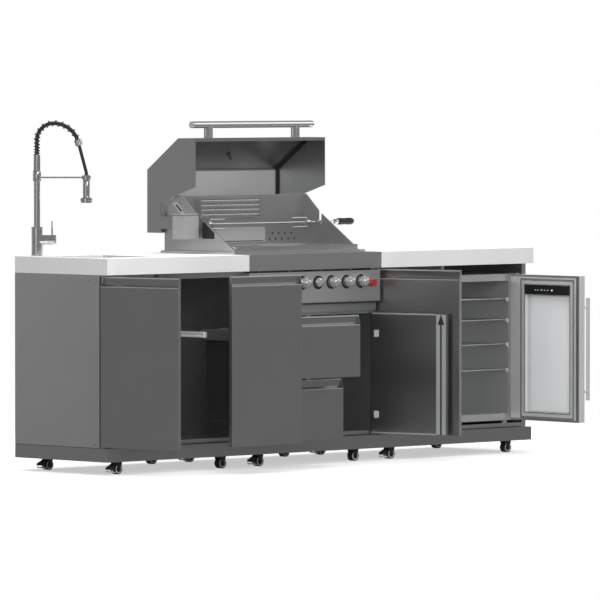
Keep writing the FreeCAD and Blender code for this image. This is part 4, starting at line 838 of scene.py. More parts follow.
@dataclass
class Drawer:
    """A drawer: its front, a box of folded sheet, and the slide bars on its sides."""

    name: str
    pose: Pose
    foot: float
    top: float
    left: float = 830.0
    right: float = 1222.0
    box_left: float = 856.6
    box_right: float = 1203.9
    bar_left: Flat = (846.3, 856.6)
    bar_right: Flat = (1203.9, 1214.2)
    depth: float = 450.0
    wall: float = 12.0
    lift: float = 20.0
    height: float = 160.0

    def box(self) -> Form:
        """The walls and the floor.

        Returns:
            The form.
        """
        form = Form()
        low = self.foot + self.lift
        high = low + self.height
        back = FRONT_BACK + self.depth
        left, right = self.box_left + self.wall, self.box_right - self.wall
        form.block((self.box_left, FRONT_BACK, low), (left, back, high))
        form.block((right, FRONT_BACK, low), (self.box_right, back, high))
        form.block((left, back - self.wall, low), (right, back, high))
        return form.block((left, FRONT_BACK, low), (right, back - self.wall, low + self.wall))

    def build(self) -> None:
        """Builds the drawer, replacing its node."""
        front = FoldedFront(self.name, self.pose, self.left, self.right, self.foot, self.top)
        front.place_sheet("front", self.name)
        self.box().place(f"{self.name}_box", Finish.INNER, self.pose, edge=0.8, slot=Slot.PAINT)
        middle = self.foot + self.lift + self.height / 2.0
        bars = Slides(self.bar_left, self.bar_right, FRONT_BACK, FRONT_BACK + self.depth, middle)
        bars.form().place(f"{self.name}_slides", Finish.PALE, self.pose, edge=0.5, slot=Slot.PAINT)


@dataclass
class WastePullOut:
    """The pull-out front with the ring that carries the bin, its slides and the bin."""

    left: float = 411.0
    right: float = 822.0
    ring_left: float = 431.1
    ring_right: float = 795.4
    ring_back: float = 242.0
    ring_foot: float = 506.0
    ring_top: float = 548.0
    sheet: float = 3.0
    gap: float = 0.4
    bin_left: float = 440.8
    bin_right: float = 785.8
    bin_front: float = 59.5
    bin_back: float = 227.5
    bin_bottom: float = 168.0
    bin_rim: float = 4.0
    bin_shoulder: float = 20.0
    bin_corner: float = 18.0
    bin_fillet: float = 2.0
    bin_rest: float = 0.1
    taper: float = 5.0
    bar_outer: Flat = (420.8, 805.7)
    bar_lift: float = 1.0
    bar_start: float = 212.0
    bar_length: float = 290.0

    def ring(self) -> Form:
        """The upright sides of the ring and its floor round the bin.

        Returns:
            The form.
        """
        form = Form()
        low, shelf, high = self.ring_foot, self.ring_foot + self.sheet, self.ring_top
        front, back = FRONT_BACK, self.ring_back
        left, right = self.ring_left + self.sheet, self.ring_right - self.sheet
        form.block((self.ring_left, front, low), (left, back, high))
        form.block((right, front, low), (self.ring_right, back, high))
        form.block((left, front, low), (right, front + self.sheet, high))
        form.block((left, back - self.sheet, low), (right, back, high))
        front, back = front + self.sheet, back - self.sheet
        near, far = self.bin_left - self.gap, self.bin_right + self.gap
        form.block((left, front, low), (near, back, shelf))
        form.block((far, front, low), (right, back, shelf))
        form.block((near, front, low), (far, self.bin_front - self.gap, shelf))
        return form.block((near, self.bin_back + self.gap, low), (far, back, shelf))

    def bin(self) -> Form:
        """The tapered bin with round corners and a rolled rim.

        Returns:
            The form.
        """
        shelf = self.ring_foot + self.sheet
        rest = shelf + self.bin_rest
        levels = ((self.taper + self.bin_fillet, self.bin_bottom),
                  (self.taper, self.bin_bottom + self.bin_fillet),
                  (0.0, shelf - self.bin_shoulder), (0.0, rest), (-self.bin_rim, rest),
                  (-self.bin_rim, shelf + self.sheet), (self.sheet, shelf + self.sheet),
                  (self.taper + self.sheet, self.bin_bottom + self.sheet))
        rings = []
        for inset, up in levels:
            corners = rounded(self.bin_left + inset, self.bin_right - inset, self.bin_front + inset,
                              self.bin_back - inset, self.bin_corner, 5)
            rings.append([(across, back, up) for across, back in corners])
        return Form().loft(rings)

    def build(self) -> None:
        """Builds the pull-out, replacing its nodes."""
        FoldedFront("waste", WASTE, self.left, self.right).place_sheet("front", "waste_pull_out")
        self.ring().place("waste_ring", Finish.BRIGHT, WASTE, edge=0.4, slot=Slot.PAINT)
        middle = (self.ring_foot + self.ring_top) / 2.0 + self.bar_lift
        bars = Slides((self.bar_outer[0], self.ring_left), (self.ring_right, self.bar_outer[1]),
                      self.bar_start, self.bar_start + self.bar_length, middle)
        bars.form().place("waste_slides", Finish.PALE, WASTE, edge=0.5, slot=Slot.PAINT)
        self.bin().place("waste_bin_shell", Finish.BLACK, WASTE, edge=0.5, slot=Slot.PLASTIC,
                         replaces=("waste_bin",))


@dataclass
class GasDoor:
    """The door of the gas-bottle compartment: a slab with an upright finger channel, and its inner side."""

    left: float = 1229.0
    right: float = 1617.0
    top: float = 590.0
    pin_across: float = 1611.0
    slant: float = 3.0
    sunk: float = 0.4
    margin: float = 4.0
    inset: float = 2.0
    lip: float = 20.0
    groove: float = 9.0
    outer_lip: float = 22.0
    proud: float = 1.6
    mitre: float = 44.0
    mitre_half: float = 17.0
    parting: float = 1.0
    bed_over: float = 0.3
    bed_drop: float = 1.0
    bed_tip: float = 1.4
    bed_proud: float = 0.5
    plate: Flat = (24.0, 30.0)
    plate_proud: float = 1.4
    plate_corner: float = 3.0
    plate_across: float = 1590.0
    plate_heights: Flat = (498.0, 146.0)
    rim_proud: float = 0.9
    rim_width: float = 6.0

    def slab(self) -> Form:
        """The slab from its foot up, with the channel hollowed between its two closed ends.

        Returns:
            The form.
        """
        start, end = self.left + FINGER_DEPTH, self.left + FINGER_HEIGHT
        depth = FRONT_FACE + FINGER_DEPTH
        low, high = FRONT_FOOT + FINGER_HEIGHT, self.top - FINGER_HEIGHT
        rings = []
        for level, bed in ((FRONT_FOOT, FRONT_FACE), (low, FRONT_FACE), (low, depth), (high, depth),
                           (high, FRONT_FACE), (self.top, FRONT_FACE)):
            rings.append([(self.left, FRONT_FACE, level), (start, FRONT_FACE, level), (start, bed, level),
                          (end - self.slant, bed, level), (end, FRONT_FACE, level),
                          (self.right, FRONT_FACE, level),
                          (self.right, FRONT_BACK, level), (self.left, FRONT_BACK, level)])
        form = Form().loft(rings)
        bmesh.ops.remove_doubles(form.mesh, verts=form.mesh.verts, dist=0.001)
        return form

    def grooved(self) -> tuple[float, float, float]:
        """Where the groove between the lips starts, has its middle and ends."""
        near = self.left + self.outer_lip
        return (near, near + self.groove / 2.0, near + self.groove)

    def lips(self) -> Form:
        """Two folded strips on the inner side with a groove between them, and mitred corners at its top;
        their lighter trim finish is a painted highlight.

        Returns:
            The form.
        """
        near, middle, far = self.grooved()
        edge = self.left + self.inset
        low, high = FRONT_FOOT + self.margin, self.top - self.margin
        shoulder = high - self.mitre
        start, end = FRONT_BACK - self.sunk, FRONT_BACK + self.proud
        form = Form().prism([(edge, low), (near, low), (near, shoulder), (middle - self.mitre_half, shoulder),
                             (middle - self.parting, high), (edge, high)], start, end, Axis.BACK)
        return form.prism([(far, low), (far + self.lip, low), (far + self.lip, high),
                           (middle + self.parting, high),
                           (middle + self.mitre_half, shoulder), (far, shoulder)], start, end, Axis.BACK)

    def groove_shade(self) -> Form:
        """A black floor in the groove, painted shade, which widens to a point under the mitred corners.

        Returns:
            The form.
        """
        near, middle, far = self.grooved()
        near, far = near - self.bed_over, far + self.bed_over
        low, high = FRONT_FOOT + self.margin, self.top - self.margin
        shoulder = high - self.mitre - self.bed_drop
        tip = high - self.bed_drop
        outline = [(near, low), (far, low), (far, shoulder), (middle + self.mitre_half, shoulder),
                   (middle + self.bed_tip, tip), (middle - self.bed_tip, tip),
                   (middle - self.mitre_half, shoulder), (near, shoulder)]
        return Form().prism(outline, FRONT_BACK - self.sunk, FRONT_BACK + self.bed_proud, Axis.BACK)

    def hinge_plates(self) -> Form:
        """The two small plates by the hinge.

        Returns:
            The form.
        """
        form = Form()
        half_wide, half_high = self.plate[0] / 2.0, self.plate[1] / 2.0
        for height in self.plate_heights:
            outline = rounded(self.plate_across - half_wide, self.plate_across + half_wide,
                              height - half_high,
                              height + half_high, self.plate_corner)
            form.prism(outline, FRONT_BACK - self.sunk, FRONT_BACK + self.plate_proud, Axis.BACK)
        return form

    def rims(self) -> Form:
        """The folded strips along the top and the foot of the inner face.

        Returns:
            The form.
        """
        form = Form()
        left = self.left + self.outer_lip + self.groove + self.lip + self.inset
        for low in (self.top - self.inset - self.rim_width, FRONT_FOOT + self.inset):
            form.block((left, FRONT_BACK - self.sunk, low),
                       (self.right - self.inset, FRONT_BACK + self.rim_proud, low + self.rim_width))
        return form

    def build(self) -> None:
        """Builds the door, replacing its node."""
        pins = FoldedFront("gas", GRILL_DOOR, self.left, self.right, top=self.top, pin_across=self.pin_across)
        made = self.slab().place("gas_door_slab", Finish.STEEL, GRILL_DOOR, edge=0.7, slot=Slot.PAINT,
                                 replaces=("grill_door",))
        carve(made, pins.holes(), GRILL_DOOR)
        # The lips take the lighter trim finish: a painted highlight.
        self.lips().place("gas_door_lips", Finish.TRIM, GRILL_DOOR, edge=0.3, slot=Slot.PAINT)
        # The black groove floor is painted shade.
        self.groove_shade().place("gas_door_groove_shade", Finish.RUBBER, GRILL_DOOR)
        self.rims().place("gas_door_rims", Finish.TRIM, GRILL_DOOR, edge=0.3, slot=Slot.PAINT)
        self.hinge_plates().place("gas_door_plates", Finish.PALE, GRILL_DOOR, edge=0.4)


# Casters.


@dataclass
class Caster:
    """One caster: a housing over a twin wheel, its axle, and a brake lever where it swivels."""

    name: str
    across: float
    back: float
    swivels: bool
    trail: float = 12.0
    axle_height: float = -33.0
    wheel_radius: float = 22.0
    tyre_half: float = 15.0
    groove: float = 4.0
    tread: Outline = ((1.6, 0.0), (0.4, 1.0), (0.0, 2.6))
    groove_bed: Outline = ((0.0, 1.0), (0.6, 0.0), (5.0, 0.0))
    bore: float = 3.1
    bore_sunk: float = 2.5
    hub: Outline = ((8.0, 2.5), (9.0, 0.6), (13.0, 0.6), (13.6, 1.6), (18.0, 1.6), (18.6, 0.2))
    ring: Flat = (13.8, 17.8)
    ring_sunk: Flat = (1.4, 0.3)
    axle_radius: float = 2.9
    axle_half: float = 19.4
    leg_inner: float = 15.4
    leg_outer: float = 18.4
    leg_foot: Outline = ((0.0, -6.0), (5.0, -4.0), (6.5, 8.0))
    shoulder: Flat = (15.0, 3.0)
    roof_half: float = 16.0
    roof_room: float = 1.0
    swivel_top: float = -4.3
    rigid_top: float = -4.0
    plate_radius: float = 20.0
    plate_height: float = 3.9
    lever_radius: float = 23.4
    lever_start: float = 0.36
    lever_end: float = 0.62
    lever_steps: int = 14
    lever_half: float = 4.5
    lever_sheet: float = 1.4
    pedal_length: float = 34.0
    pedal_half: float = 11.0
    pedal_heel: Flat = (1.0, 3.0)
    pedal_tip: Flat = (4.0, 9.5)
    pedal_bend: Flat = (4.0, 5.5)
    arm_side: Outline = ((6.0, 24.0), (-4.0, 20.0), (-30.0, 7.0), (-31.0, -2.0), (-6.0, -2.0),
                         (-2.6, 4.0), (4.0, 17.0))
    arm_half: float = 12.0

    @property
    def middle(self) -> float:
        """Where the axle is."""
        return self.across + (self.trail if self.swivels else 0.0)

    @property
    def axle(self) -> Point:
        """The middle of the axle."""
        return (self.middle, self.back, self.axle_height)

    def wheel(self) -> Form:
        """The twin tyres with a groove between, round shoulders and sunk hubs.

        Returns:
            The form.
        """
        half, radius = self.tyre_half, self.wheel_radius
        side = [(self.bore, half - self.bore_sunk)]
        side += [(out, half - sunk) for out, sunk in self.hub]
        side += [(radius - drop, half - sunk) for drop, sunk in self.tread]
        side += [(radius - drop, self.groove + out) for drop, out in self.groove_bed]
        profile = side + [(out, -along) for out, along in reversed(side)] + [side[0]]
        return Form().turn(profile, self.axle, Axis.BACK, 40)

    def hub_rings(self) -> Form:
        """A bright ring on each side of the wheel.

        Returns:
            The form.
        """
        form = Form()
        near, far = self.ring
        for side in (-1.0, 1.0):
            inner, outer = (side * self.tyre_half - side * sunk for sunk in self.ring_sunk)
            form.turn([(near, inner), (near, outer), (far, outer), (far, inner), (near, inner)],
                      self.axle, Axis.BACK, 32)
        return form

    def housing(self) -> Form:
        """The legs beside the wheel with the roof over it, and the plate under the plinth.

        Returns:
            The form.
        """
        form = Form()
        roof = self.axle_height + self.wheel_radius + self.roof_room
        top = self.swivel_top if self.swivels else self.rigid_top
        edge = [(wide, self.axle_height + up) for wide, up in self.leg_foot]
        edge += [(self.shoulder[0], roof - self.shoulder[1]), (self.roof_half, top)]
        outline = [(self.middle + wide, up) for wide, up in edge]
        outline += [(self.middle - wide, up) for wide, up in reversed(edge[1:])]
        for side in (-1.0, 1.0):
            inner, outer = sorted((self.back + side * self.leg_inner, self.back + side * self.leg_outer))
            form.prism(outline, inner, outer, Axis.BACK)
        form.block((self.middle - self.roof_half, self.back - self.leg_inner, roof),
                   (self.middle + self.roof_half, self.back + self.leg_inner, top))
        over = top + self.plate_height
        form.turn([(0.0, top), (self.plate_radius, top), (self.plate_radius, over), (0.0, over)],
                  (self.across, self.back, 0.0), Axis.UP, 36)
        return form.turn([(0.0, -self.axle_half), (self.axle_radius, -self.axle_half),
                          (self.axle_radius, self.axle_half),
                          (0.0, self.axle_half)], self.axle, Axis.BACK, 20)

    def lever(self) -> Form:
        """The bright brake band that follows the wheel down to its pedal.

        Returns:
            The form.
        """
        points = []
        for step in range(self.lever_steps + 1):
            share = self.lever_start + (self.lever_end - self.lever_start) * step / self.lever_steps
            across, up = on_circle(self.lever_radius, share)
            points.append((self.middle + across, self.axle_height + up))
        swell = self.lever_sheet / self.lever_radius
        outer = [(across + swell * (across - self.middle), up + swell * (up - self.axle_height))
                 for across, up in points]
        form = Form().prism(points + list(reversed(outer)), self.back - self.lever_half,
                            self.back + self.lever_half, Axis.BACK)
        across, up = points[-1]
        end = across - self.pedal_length
        heel, tip, bend = self.pedal_heel, self.pedal_tip, self.pedal_bend
        return form.prism([(across + heel[0], up), (end, up + tip[0]), (end, up + tip[1]),
                           (across - bend[0], up + bend[1]), (across + heel[0], up + heel[1])],
                          self.back - self.pedal_half, self.back + self.pedal_half, Axis.BACK)

    def arm(self) -> Form:
        """The black arm over the pedal, which reaches back from the housing.

        Returns:
            The form.
        """
        near = self.middle - self.wheel_radius
        outline = [(near + across, self.axle_height + up) for across, up in self.arm_side]
        return Form().prism(outline, self.back - self.arm_half, self.back + self.arm_half, Axis.BACK)

    def build(self) -> None:
        """Builds the caster, replacing its nodes."""
        stem = Pose(f"{self.name}_swivel" if self.swivels else "cabinet")
        rolling = Pose(f"{self.name}_wheel")
        node = f"{self.name}_caster_fork" if self.swivels else "rigid_caster_forks"
        self.housing().place(f"{self.name}_housing", Finish.BLACK, stem, edge=0.5, slot=Slot.ZINC,
                             replaces=(node,))
        tyres = (f"{self.name}_caster_wheel",)
        self.wheel().place(f"{self.name}_tyres", Finish.RUBBER, rolling, slot=Slot.WHEEL, replaces=tyres)
        self.hub_rings().place(f"{self.name}_hub_rings", Finish.PALE, rolling, slot=Slot.ZINC)
        if self.swivels:
            self.lever().place(f"{self.name}_brake", Finish.PALE, stem, edge=0.4, slot=Slot.ZINC)
            self.arm().place(f"{self.name}_brake_arm", Finish.BLACK, stem, edge=1.2, slot=Slot.ZINC)


@dataclass
class Casters:
    """The twelve casters: the left pair of each module swivels."""

    edges: tuple[tuple[str, float, float], ...] = (("sink", 0.0, 826.0), ("grill", 826.0, 1624.0),
                                                   ("fridge", 1624.0, 2580.0))
    inset: float = 105.0
    rows: tuple[tuple[str, float], ...] = (("front", 70.0), ("rear", 500.0))

    def build(self) -> None:
        """Builds all of them."""
        for module, left, right in self.edges:
            for row, back in self.rows:
                Caster(f"{module}_left_{row}", left + self.inset, back, True).build()
                Caster(f"{module}_right_{row}", right - self.inset, back, False).build()


# The tap.


@dataclass
class Tap:
    """The tap: turned base and riser, an open spring round the hose, the clip rod and the spray head."""

    base_foot: float = 853.0
    base_top: float = 976.0
    riser_top: float = 1214.0
    coil_top: float = 1282.0
    rise_end: float = 1345.0
    first_radius: float = 71.0
    second_radius: float = 108.5
    slope: float = 75.3
    last_radius: float = 60.0
    reach: float = 209.8
    head_top: float = 1198.0
    head_foot: float = 1102.0
    hose_radius: float = 7.0
    core_radius: float = 8.5
    wire_radius: float = 1.9
    spring_radius: float = 12.3
    close_pitch: float = 9.0
    open_pitch: float = 27.0
    wire_steps: int = 16
    wound_share: float = 0.45
    barrel_rise: float = 68.0
    flange: Outline = ((24.0, 0.0), (24.0, 3.0), (23.0, 4.0))
    base_sunk: float = 50.0
    base_radius: float = 14.0
    base_rim: Outline = ((23.0, 5.0), (24.0, 4.0), (24.0, 1.0), (23.0, 0.0))
    socket: Flat = (10.2, 37.0)
    barrel: Outline = ((0.0, 0.0), (21.0, 0.0), (21.0, 46.0), (20.0, 47.0), (20.0, 49.0),
                       (21.0, 50.0), (21.0, 52.0), (8.2, 52.0), (8.2, 29.0), (0.0, 29.0))
    riser_sunk: float = 33.0
    riser: Flat = (10.0, 13.0)
    riser_gap: float = 0.3
    clip: Outline = ((13.0, 43.0), (16.4, 43.0), (17.0, 42.0), (17.0, 24.0), (16.2, 23.0),
                     (16.2, 21.0), (17.0, 20.0), (17.0, 1.0), (16.4, 0.0), (11.0, 0.0))
    rib: float = 4.0
    rib_radii: Flat = (13.4, 14.5)
    rib_slants: Flat = (0.4, 1.4)
    rod_drop: float = 12.0
    rod_start: float = 14.0
    rod_end: float = 16.0
    rod_radius: float = 3.5
    holder: Flat = (15.4, 19.2)
    holder_half: float = 8.0
    holder_slant: float = 0.6
    neck: Outline = ((0.0, 0.0), (8.0, 0.0), (11.0, 2.0), (15.0, 6.0), (15.0, 26.0), (14.2, 28.0),
                     (15.0, 30.0))
    nozzle: Outline = ((15.0, 14.0), (13.6, 6.0), (15.0, 0.0), (22.0, -4.0), (26.0, -8.0),
                       (26.0, -14.0), (23.5, -15.0), (23.5, -21.0), (20.0, -22.0), (0.0, -22.0))
    face: Flat = (19.0, 22.8)
    face_levels: Flat = (-21.8, -23.0)
    cap: Outline = ((0.0, 30.2), (8.0, 30.2), (8.0, 52.3), (20.4, 52.3), (21.0, 53.0),
                    (21.0, 79.0), (19.0, 81.0), (0.0, 81.0))
    pin: Outline = ((0.0, 18.0), (3.5, 18.0), (3.5, 79.0), (2.5, 81.0), (0.0, 81.0))
    pin_across: float = 64.0
    collar_radius: float = 15.6
    collar_reach: Flat = (12.0, 14.0)

    def arc(self, centre: Flat, radius: float, start: float, end: float, steps: int) -> list[Vector]:
        """Points of an arc in the plane of the arch.

        Args:
            centre: Its middle, across and up.
            radius: Its radius.
            start: First angle in degrees.
            end: Last angle in degrees.
            steps: How many pieces it has.

        Returns:
            The points, without the first.
        """
        points = []
        for step in range(1, steps + 1):
            turn = math.radians(start + (end - start) * step / steps)
            points.append(Vector((centre[0] + radius * math.cos(turn), 0.0,
                                  centre[1] + radius * math.sin(turn))))
        return points

    def arch(self) -> list[Vector]:
        """The middle line of the sprung arch.

        Returns:
            Its points from the riser on.
        """
        line = [Vector((0.0, 0.0, self.coil_top)), Vector((0.0, 0.0, self.rise_end))]
        line += self.arc((self.first_radius, self.rise_end), self.first_radius, 180.0, 90.0, 14)
        crown = self.rise_end + self.first_radius
        return line + self.arc((self.first_radius, crown - self.second_radius), self.second_radius, 90.0,
                               90.0 - self.slope, 14)

    def hose_line(self) -> list[Vector]:
        """The middle line of the whole hose."""
        centre = (self.reach - self.last_radius, self.head_top)
        return self.arch() + self.arc(centre, self.last_radius, 94.0 - self.slope, 0.0, 6)

    def spring(self) -> Form:
        """The spring, wound close on the riser and open on the arch.

        Returns:
            The form.
        """
        line = self.arch()
        lengths = [0.0]
        for first, second in zip(line, line[1:]):
            lengths.append(lengths[-1] + (second - first).length)
        total = lengths[-1]
        points = []
        along, turn = 0.0, 0.0
        while along < total:
            index = max(i for i, length in enumerate(lengths[:-1]) if length <= along)
            share = (along - lengths[index]) / (lengths[index + 1] - lengths[index])
            point = line[index].lerp(line[index + 1], share)
            ahead = (line[index + 1] - line[index]).normalized()
            side = Vector((0.0, 1.0, 0.0))
            beside = ahead.cross(side)
            points.append(point + self.spring_radius * (side * math.cos(turn) + beside * math.sin(turn)))
            opened = min(1.0, along / (self.wound_share * total))
            along += (self.close_pitch + (self.open_pitch - self.close_pitch) * opened) / self.wire_steps
            turn += math.tau / self.wire_steps
        return Form().sweep(points, self.wire_radius, 6)

    def ringed(self, profile: Sequence[Flat], centre: Point = (0.0, 0.0, 0.0), steps: int = 40) -> Form:
        """A part turned about an upright line."""
        return Form().turn(profile, centre, Axis.UP, steps)

    def fixed(self) -> None:
        """The base with its flange, and the barrel of the lever."""
        foot, top = self.base_foot, self.base_top
        radius, deep = self.socket
        profile = [(0.0, foot - self.base_sunk), (self.base_radius, foot - self.base_sunk),
                   (self.base_radius, foot)]
        profile += [(out, foot + up) for out, up in self.flange]
        profile += [(out, top - down) for out, down in self.base_rim]
        profile += [(radius, top), (radius, top - deep), (0.0, top - deep)]
        form = self.ringed(profile).turn(self.barrel, (0.0, 0.0, foot + self.barrel_rise), Axis.ACROSS, 40)
        form.place("tap_base_turned", Finish.TAP, TAP_BASE, replaces=("tap_body",))

    def arm(self) -> None:
        """The riser with its collar, the wound sleeve, and the rod with the ring that holds the head."""
        top = self.riser_top
        low, ledge = self.base_top - self.riser_sunk, self.base_top + self.riser_gap
        inner, outer = self.riser
        profile = [(0.0, low), (inner, low), (inner, ledge), (outer, ledge)]
        profile += [(out, top - down) for out, down in self.clip]
        height = top
        (valley, crest), (near, far) = self.rib_radii, self.rib_slants
        while height < self.coil_top - self.rib:
            over = height + self.rib
            profile += [(valley, height + near), (crest, height + far), (crest, over - far),
                        (valley, over - near)]
            height = over
        profile += [(outer, self.coil_top), (0.0, self.coil_top)]
        form = self.ringed(profile)
        level = self.head_top - self.rod_drop
        end = self.reach - self.rod_end
        form.sweep([Vector((self.rod_start, 0.0, level)), Vector((end, 0.0, level))], self.rod_radius, 14)
        (inner, outer), half, slant = self.holder, self.holder_half, self.holder_slant
        form.turn([(inner, level - half), (outer - slant, level - half), (outer, level - half + slant),
                   (outer, level + half - slant), (outer - slant, level + half), (inner, level + half),
                   (inner, level - half)], (self.reach, 0.0, 0.0), Axis.UP, 36)
        form.place("tap_riser_turned", Finish.TAP, TAP, replaces=("tap_arm",))

    def head(self) -> None:
        """The spray head: a waisted grip with a button, and a flared nozzle with a rubber face."""
        foot, top = self.head_foot, self.head_top
        place = (self.reach, 0.0, 0.0)
        profile = [(out, top - down) for out, down in self.neck]
        profile += [(out, foot + up) for out, up in self.nozzle]
        self.ringed(profile, place).place("spray_head_turned", Finish.TAP, TAP, replaces=("spray_head",))
        (inner, outer), (high, low) = self.face, (foot + level for level in self.face_levels)
        ring = self.ringed([(inner, high), (outer, high), (outer, low), (inner, low), (inner, high)], place)
        ring.place("spray_face_ring", Finish.BLACK, TAP)

    def lever(self) -> None:
        """The end cap with its upright pin."""
        level = self.base_foot + self.barrel_rise
        form = Form().turn(self.cap, (0.0, 0.0, level), Axis.ACROSS, 40)
        form.turn(self.pin, (self.pin_across, 0.0, level), Axis.UP, 16)
        form.place("tap_lever_turned", Finish.TAP, LEVER, replaces=("tap_lever",))

    def build(self) -> None:
        """Builds the tap, replacing its nodes."""
        self.fixed()
        self.arm()
        self.lever()
        self.head()
        arch = self.arch()
        hose = Form().sweep(self.hose_line(), self.hose_radius, 14)
        hose.place("tap_hose_tube", Finish.RUBBER, TAP, slot=Slot.RUBBER, replaces=("tap_hose",))
        cover = Form().sweep(arch, self.core_radius, 12)
        cover.place("tap_hose_cover", Finish.RUBBER, TAP, slot=Slot.RUBBER)
        self.spring().place("tap_spring", Finish.COIL, TAP)
        ahead = (arch[-1] - arch[-2]).normalized()
        collar = [arch[-1] - ahead * self.collar_reach[0], arch[-1] + ahead * self.collar_reach[1]]
        sleeve = Form().sweep(collar, self.collar_radius, 24)
        sleeve.place("tap_spring_collar", Finish.BRIGHT, TAP, edge=0.8)


# The grill: spit, motor, firebox, hood and controls.


@dataclass
class Spit:
    """The spit: a rod with two bushes, two forks with bent prongs, and a black handle."""

    back: float = 349.0
    height: float = 978.0
    radius: float = 4.0
    tip: float = 791.3
    bush: float = 7.7
    bushes: Flat = (855.0, 1595.0)
    grip_start: float = 1680.0
    ferrule: float = 20.0
    grip_end: float = 1795.0
    spread: float = 20.0
    prong: float = 2.5
    prong_root: float = 10.0
    taper: Flat = (12.0, 3.0)
    blunt: float = 1.2
    bend: Flat = (2.0, 6.0)
    hub: Flat = (11.0, 12.0)
    screw: Outline = ((0.0, -23.0), (3.6, -23.0), (3.6, -15.0), (2.2, -15.0), (2.2, -11.0), (0.0, -11.0))
    ring_side: Outline = ((0.0, 6.0), (0.0, 2.8), (1.0, 2.2))
    ring_half: float = 7.0
    ferrule_radii: Flat = (9.0, 11.0)
    ferrule_slant: float = 4.0
    grip_near: Outline = ((0.0, 0.0), (12.5, 0.0), (14.0, 3.0), (15.0, 14.0), (14.0, 38.0))
    grip_far: Outline = ((15.0, 28.0), (15.0, 14.0), (12.0, 4.0), (7.0, 0.0), (0.0, 0.0))
    forks: tuple[tuple[str, float, float, float], ...] = (("left", 912.0, 934.0, 1024.0),
                                                          ("right", 1526.0, 1504.0, 1414.0))

    def rod(self) -> Form:
        """The rod with its grooved bushes and the ferrule of the handle.

        Returns:
            The form.
        """
        profile = [(0.0, self.tip), (self.radius - 1.0, self.tip), (self.radius, self.tip + 1.0)]
        for middle in self.bushes:
            profile += [(self.radius, middle - self.ring_half)]
            profile += [(self.bush - drop, middle - away) for drop, away in self.ring_side]
            profile += [(self.bush - drop, middle + away) for drop, away in reversed(self.ring_side)]
            profile += [(self.radius, middle + self.ring_half)]
        start, end = self.grip_start, self.grip_start + self.ferrule
        near, far = self.ferrule_radii
        profile += [(self.radius, start), (near, start), (far, start + self.ferrule_slant), (far, end),
                    (0.0, end)]
        return Form().turn(profile, (0.0, self.back, self.height), Axis.ACROSS, 20)

    def grip(self) -> Form:
        """The moulded handle.

        Returns:
            The form.
        """
        start, end = self.grip_start + self.ferrule, self.grip_end
        profile = [(out, start + along) for out, along in self.grip_near]
        profile += [(out, end - along) for out, along in self.grip_far]
        return Form().turn(profile, (0.0, self.back, self.height), Axis.ACROSS, 28)

    def fork(self, start: float, end: float, point: float) -> Form:
        """A hub with a thumbscrew and two prongs.

        Args:
            start: Where the hub starts.
            end: Where it ends.
            point: Where the points of the prongs are.

        Returns:
            The form.
        """
        form = Form()
        way = 1.0 if point > start else -1.0
        rim, flank = self.hub
        short, full = self.bend
        form.turn([(self.radius, start), (rim, start), (flank, start + way), (flank, end - way), (rim, end),
                   (self.radius, end)], (0.0, self.back, self.height), Axis.ACROSS, 24)
        middle = (start + end) / 2.0
        form.turn(self.screw, (middle, self.back, self.height), Axis.BACK, 12)
        for side in (-1.0, 1.0):
            outer = self.height + side * self.spread
            near, far = (point - way * drop for drop in self.taper)
            path = [Vector((middle, self.back, self.height + side * self.prong_root)),
                    Vector((middle, self.back, outer - side * full)),
                    Vector((middle + way * short, self.back, outer - side * short)),
                    Vector((middle + way * full, self.back, outer)), Vector((near, self.back, outer))]
            form.sweep(path, self.prong, 10)
            form.turn([(self.prong, near), (self.blunt, far), (0.0, point)],
                      (0.0, self.back, outer), Axis.ACROSS, 10)
        return form

    def build(self) -> None:
        """Builds the spit, replacing its node."""
        pose = Pose("spit")
        self.rod().place("spit_rod", Finish.SHINE, pose, replaces=("spit",))
        self.grip().place("spit_grip", Finish.BLACK, pose)
        for name, start, end, point in self.forks:
            self.fork(start, end, point).place(f"spit_fork_{name}", Finish.SHINE, pose)


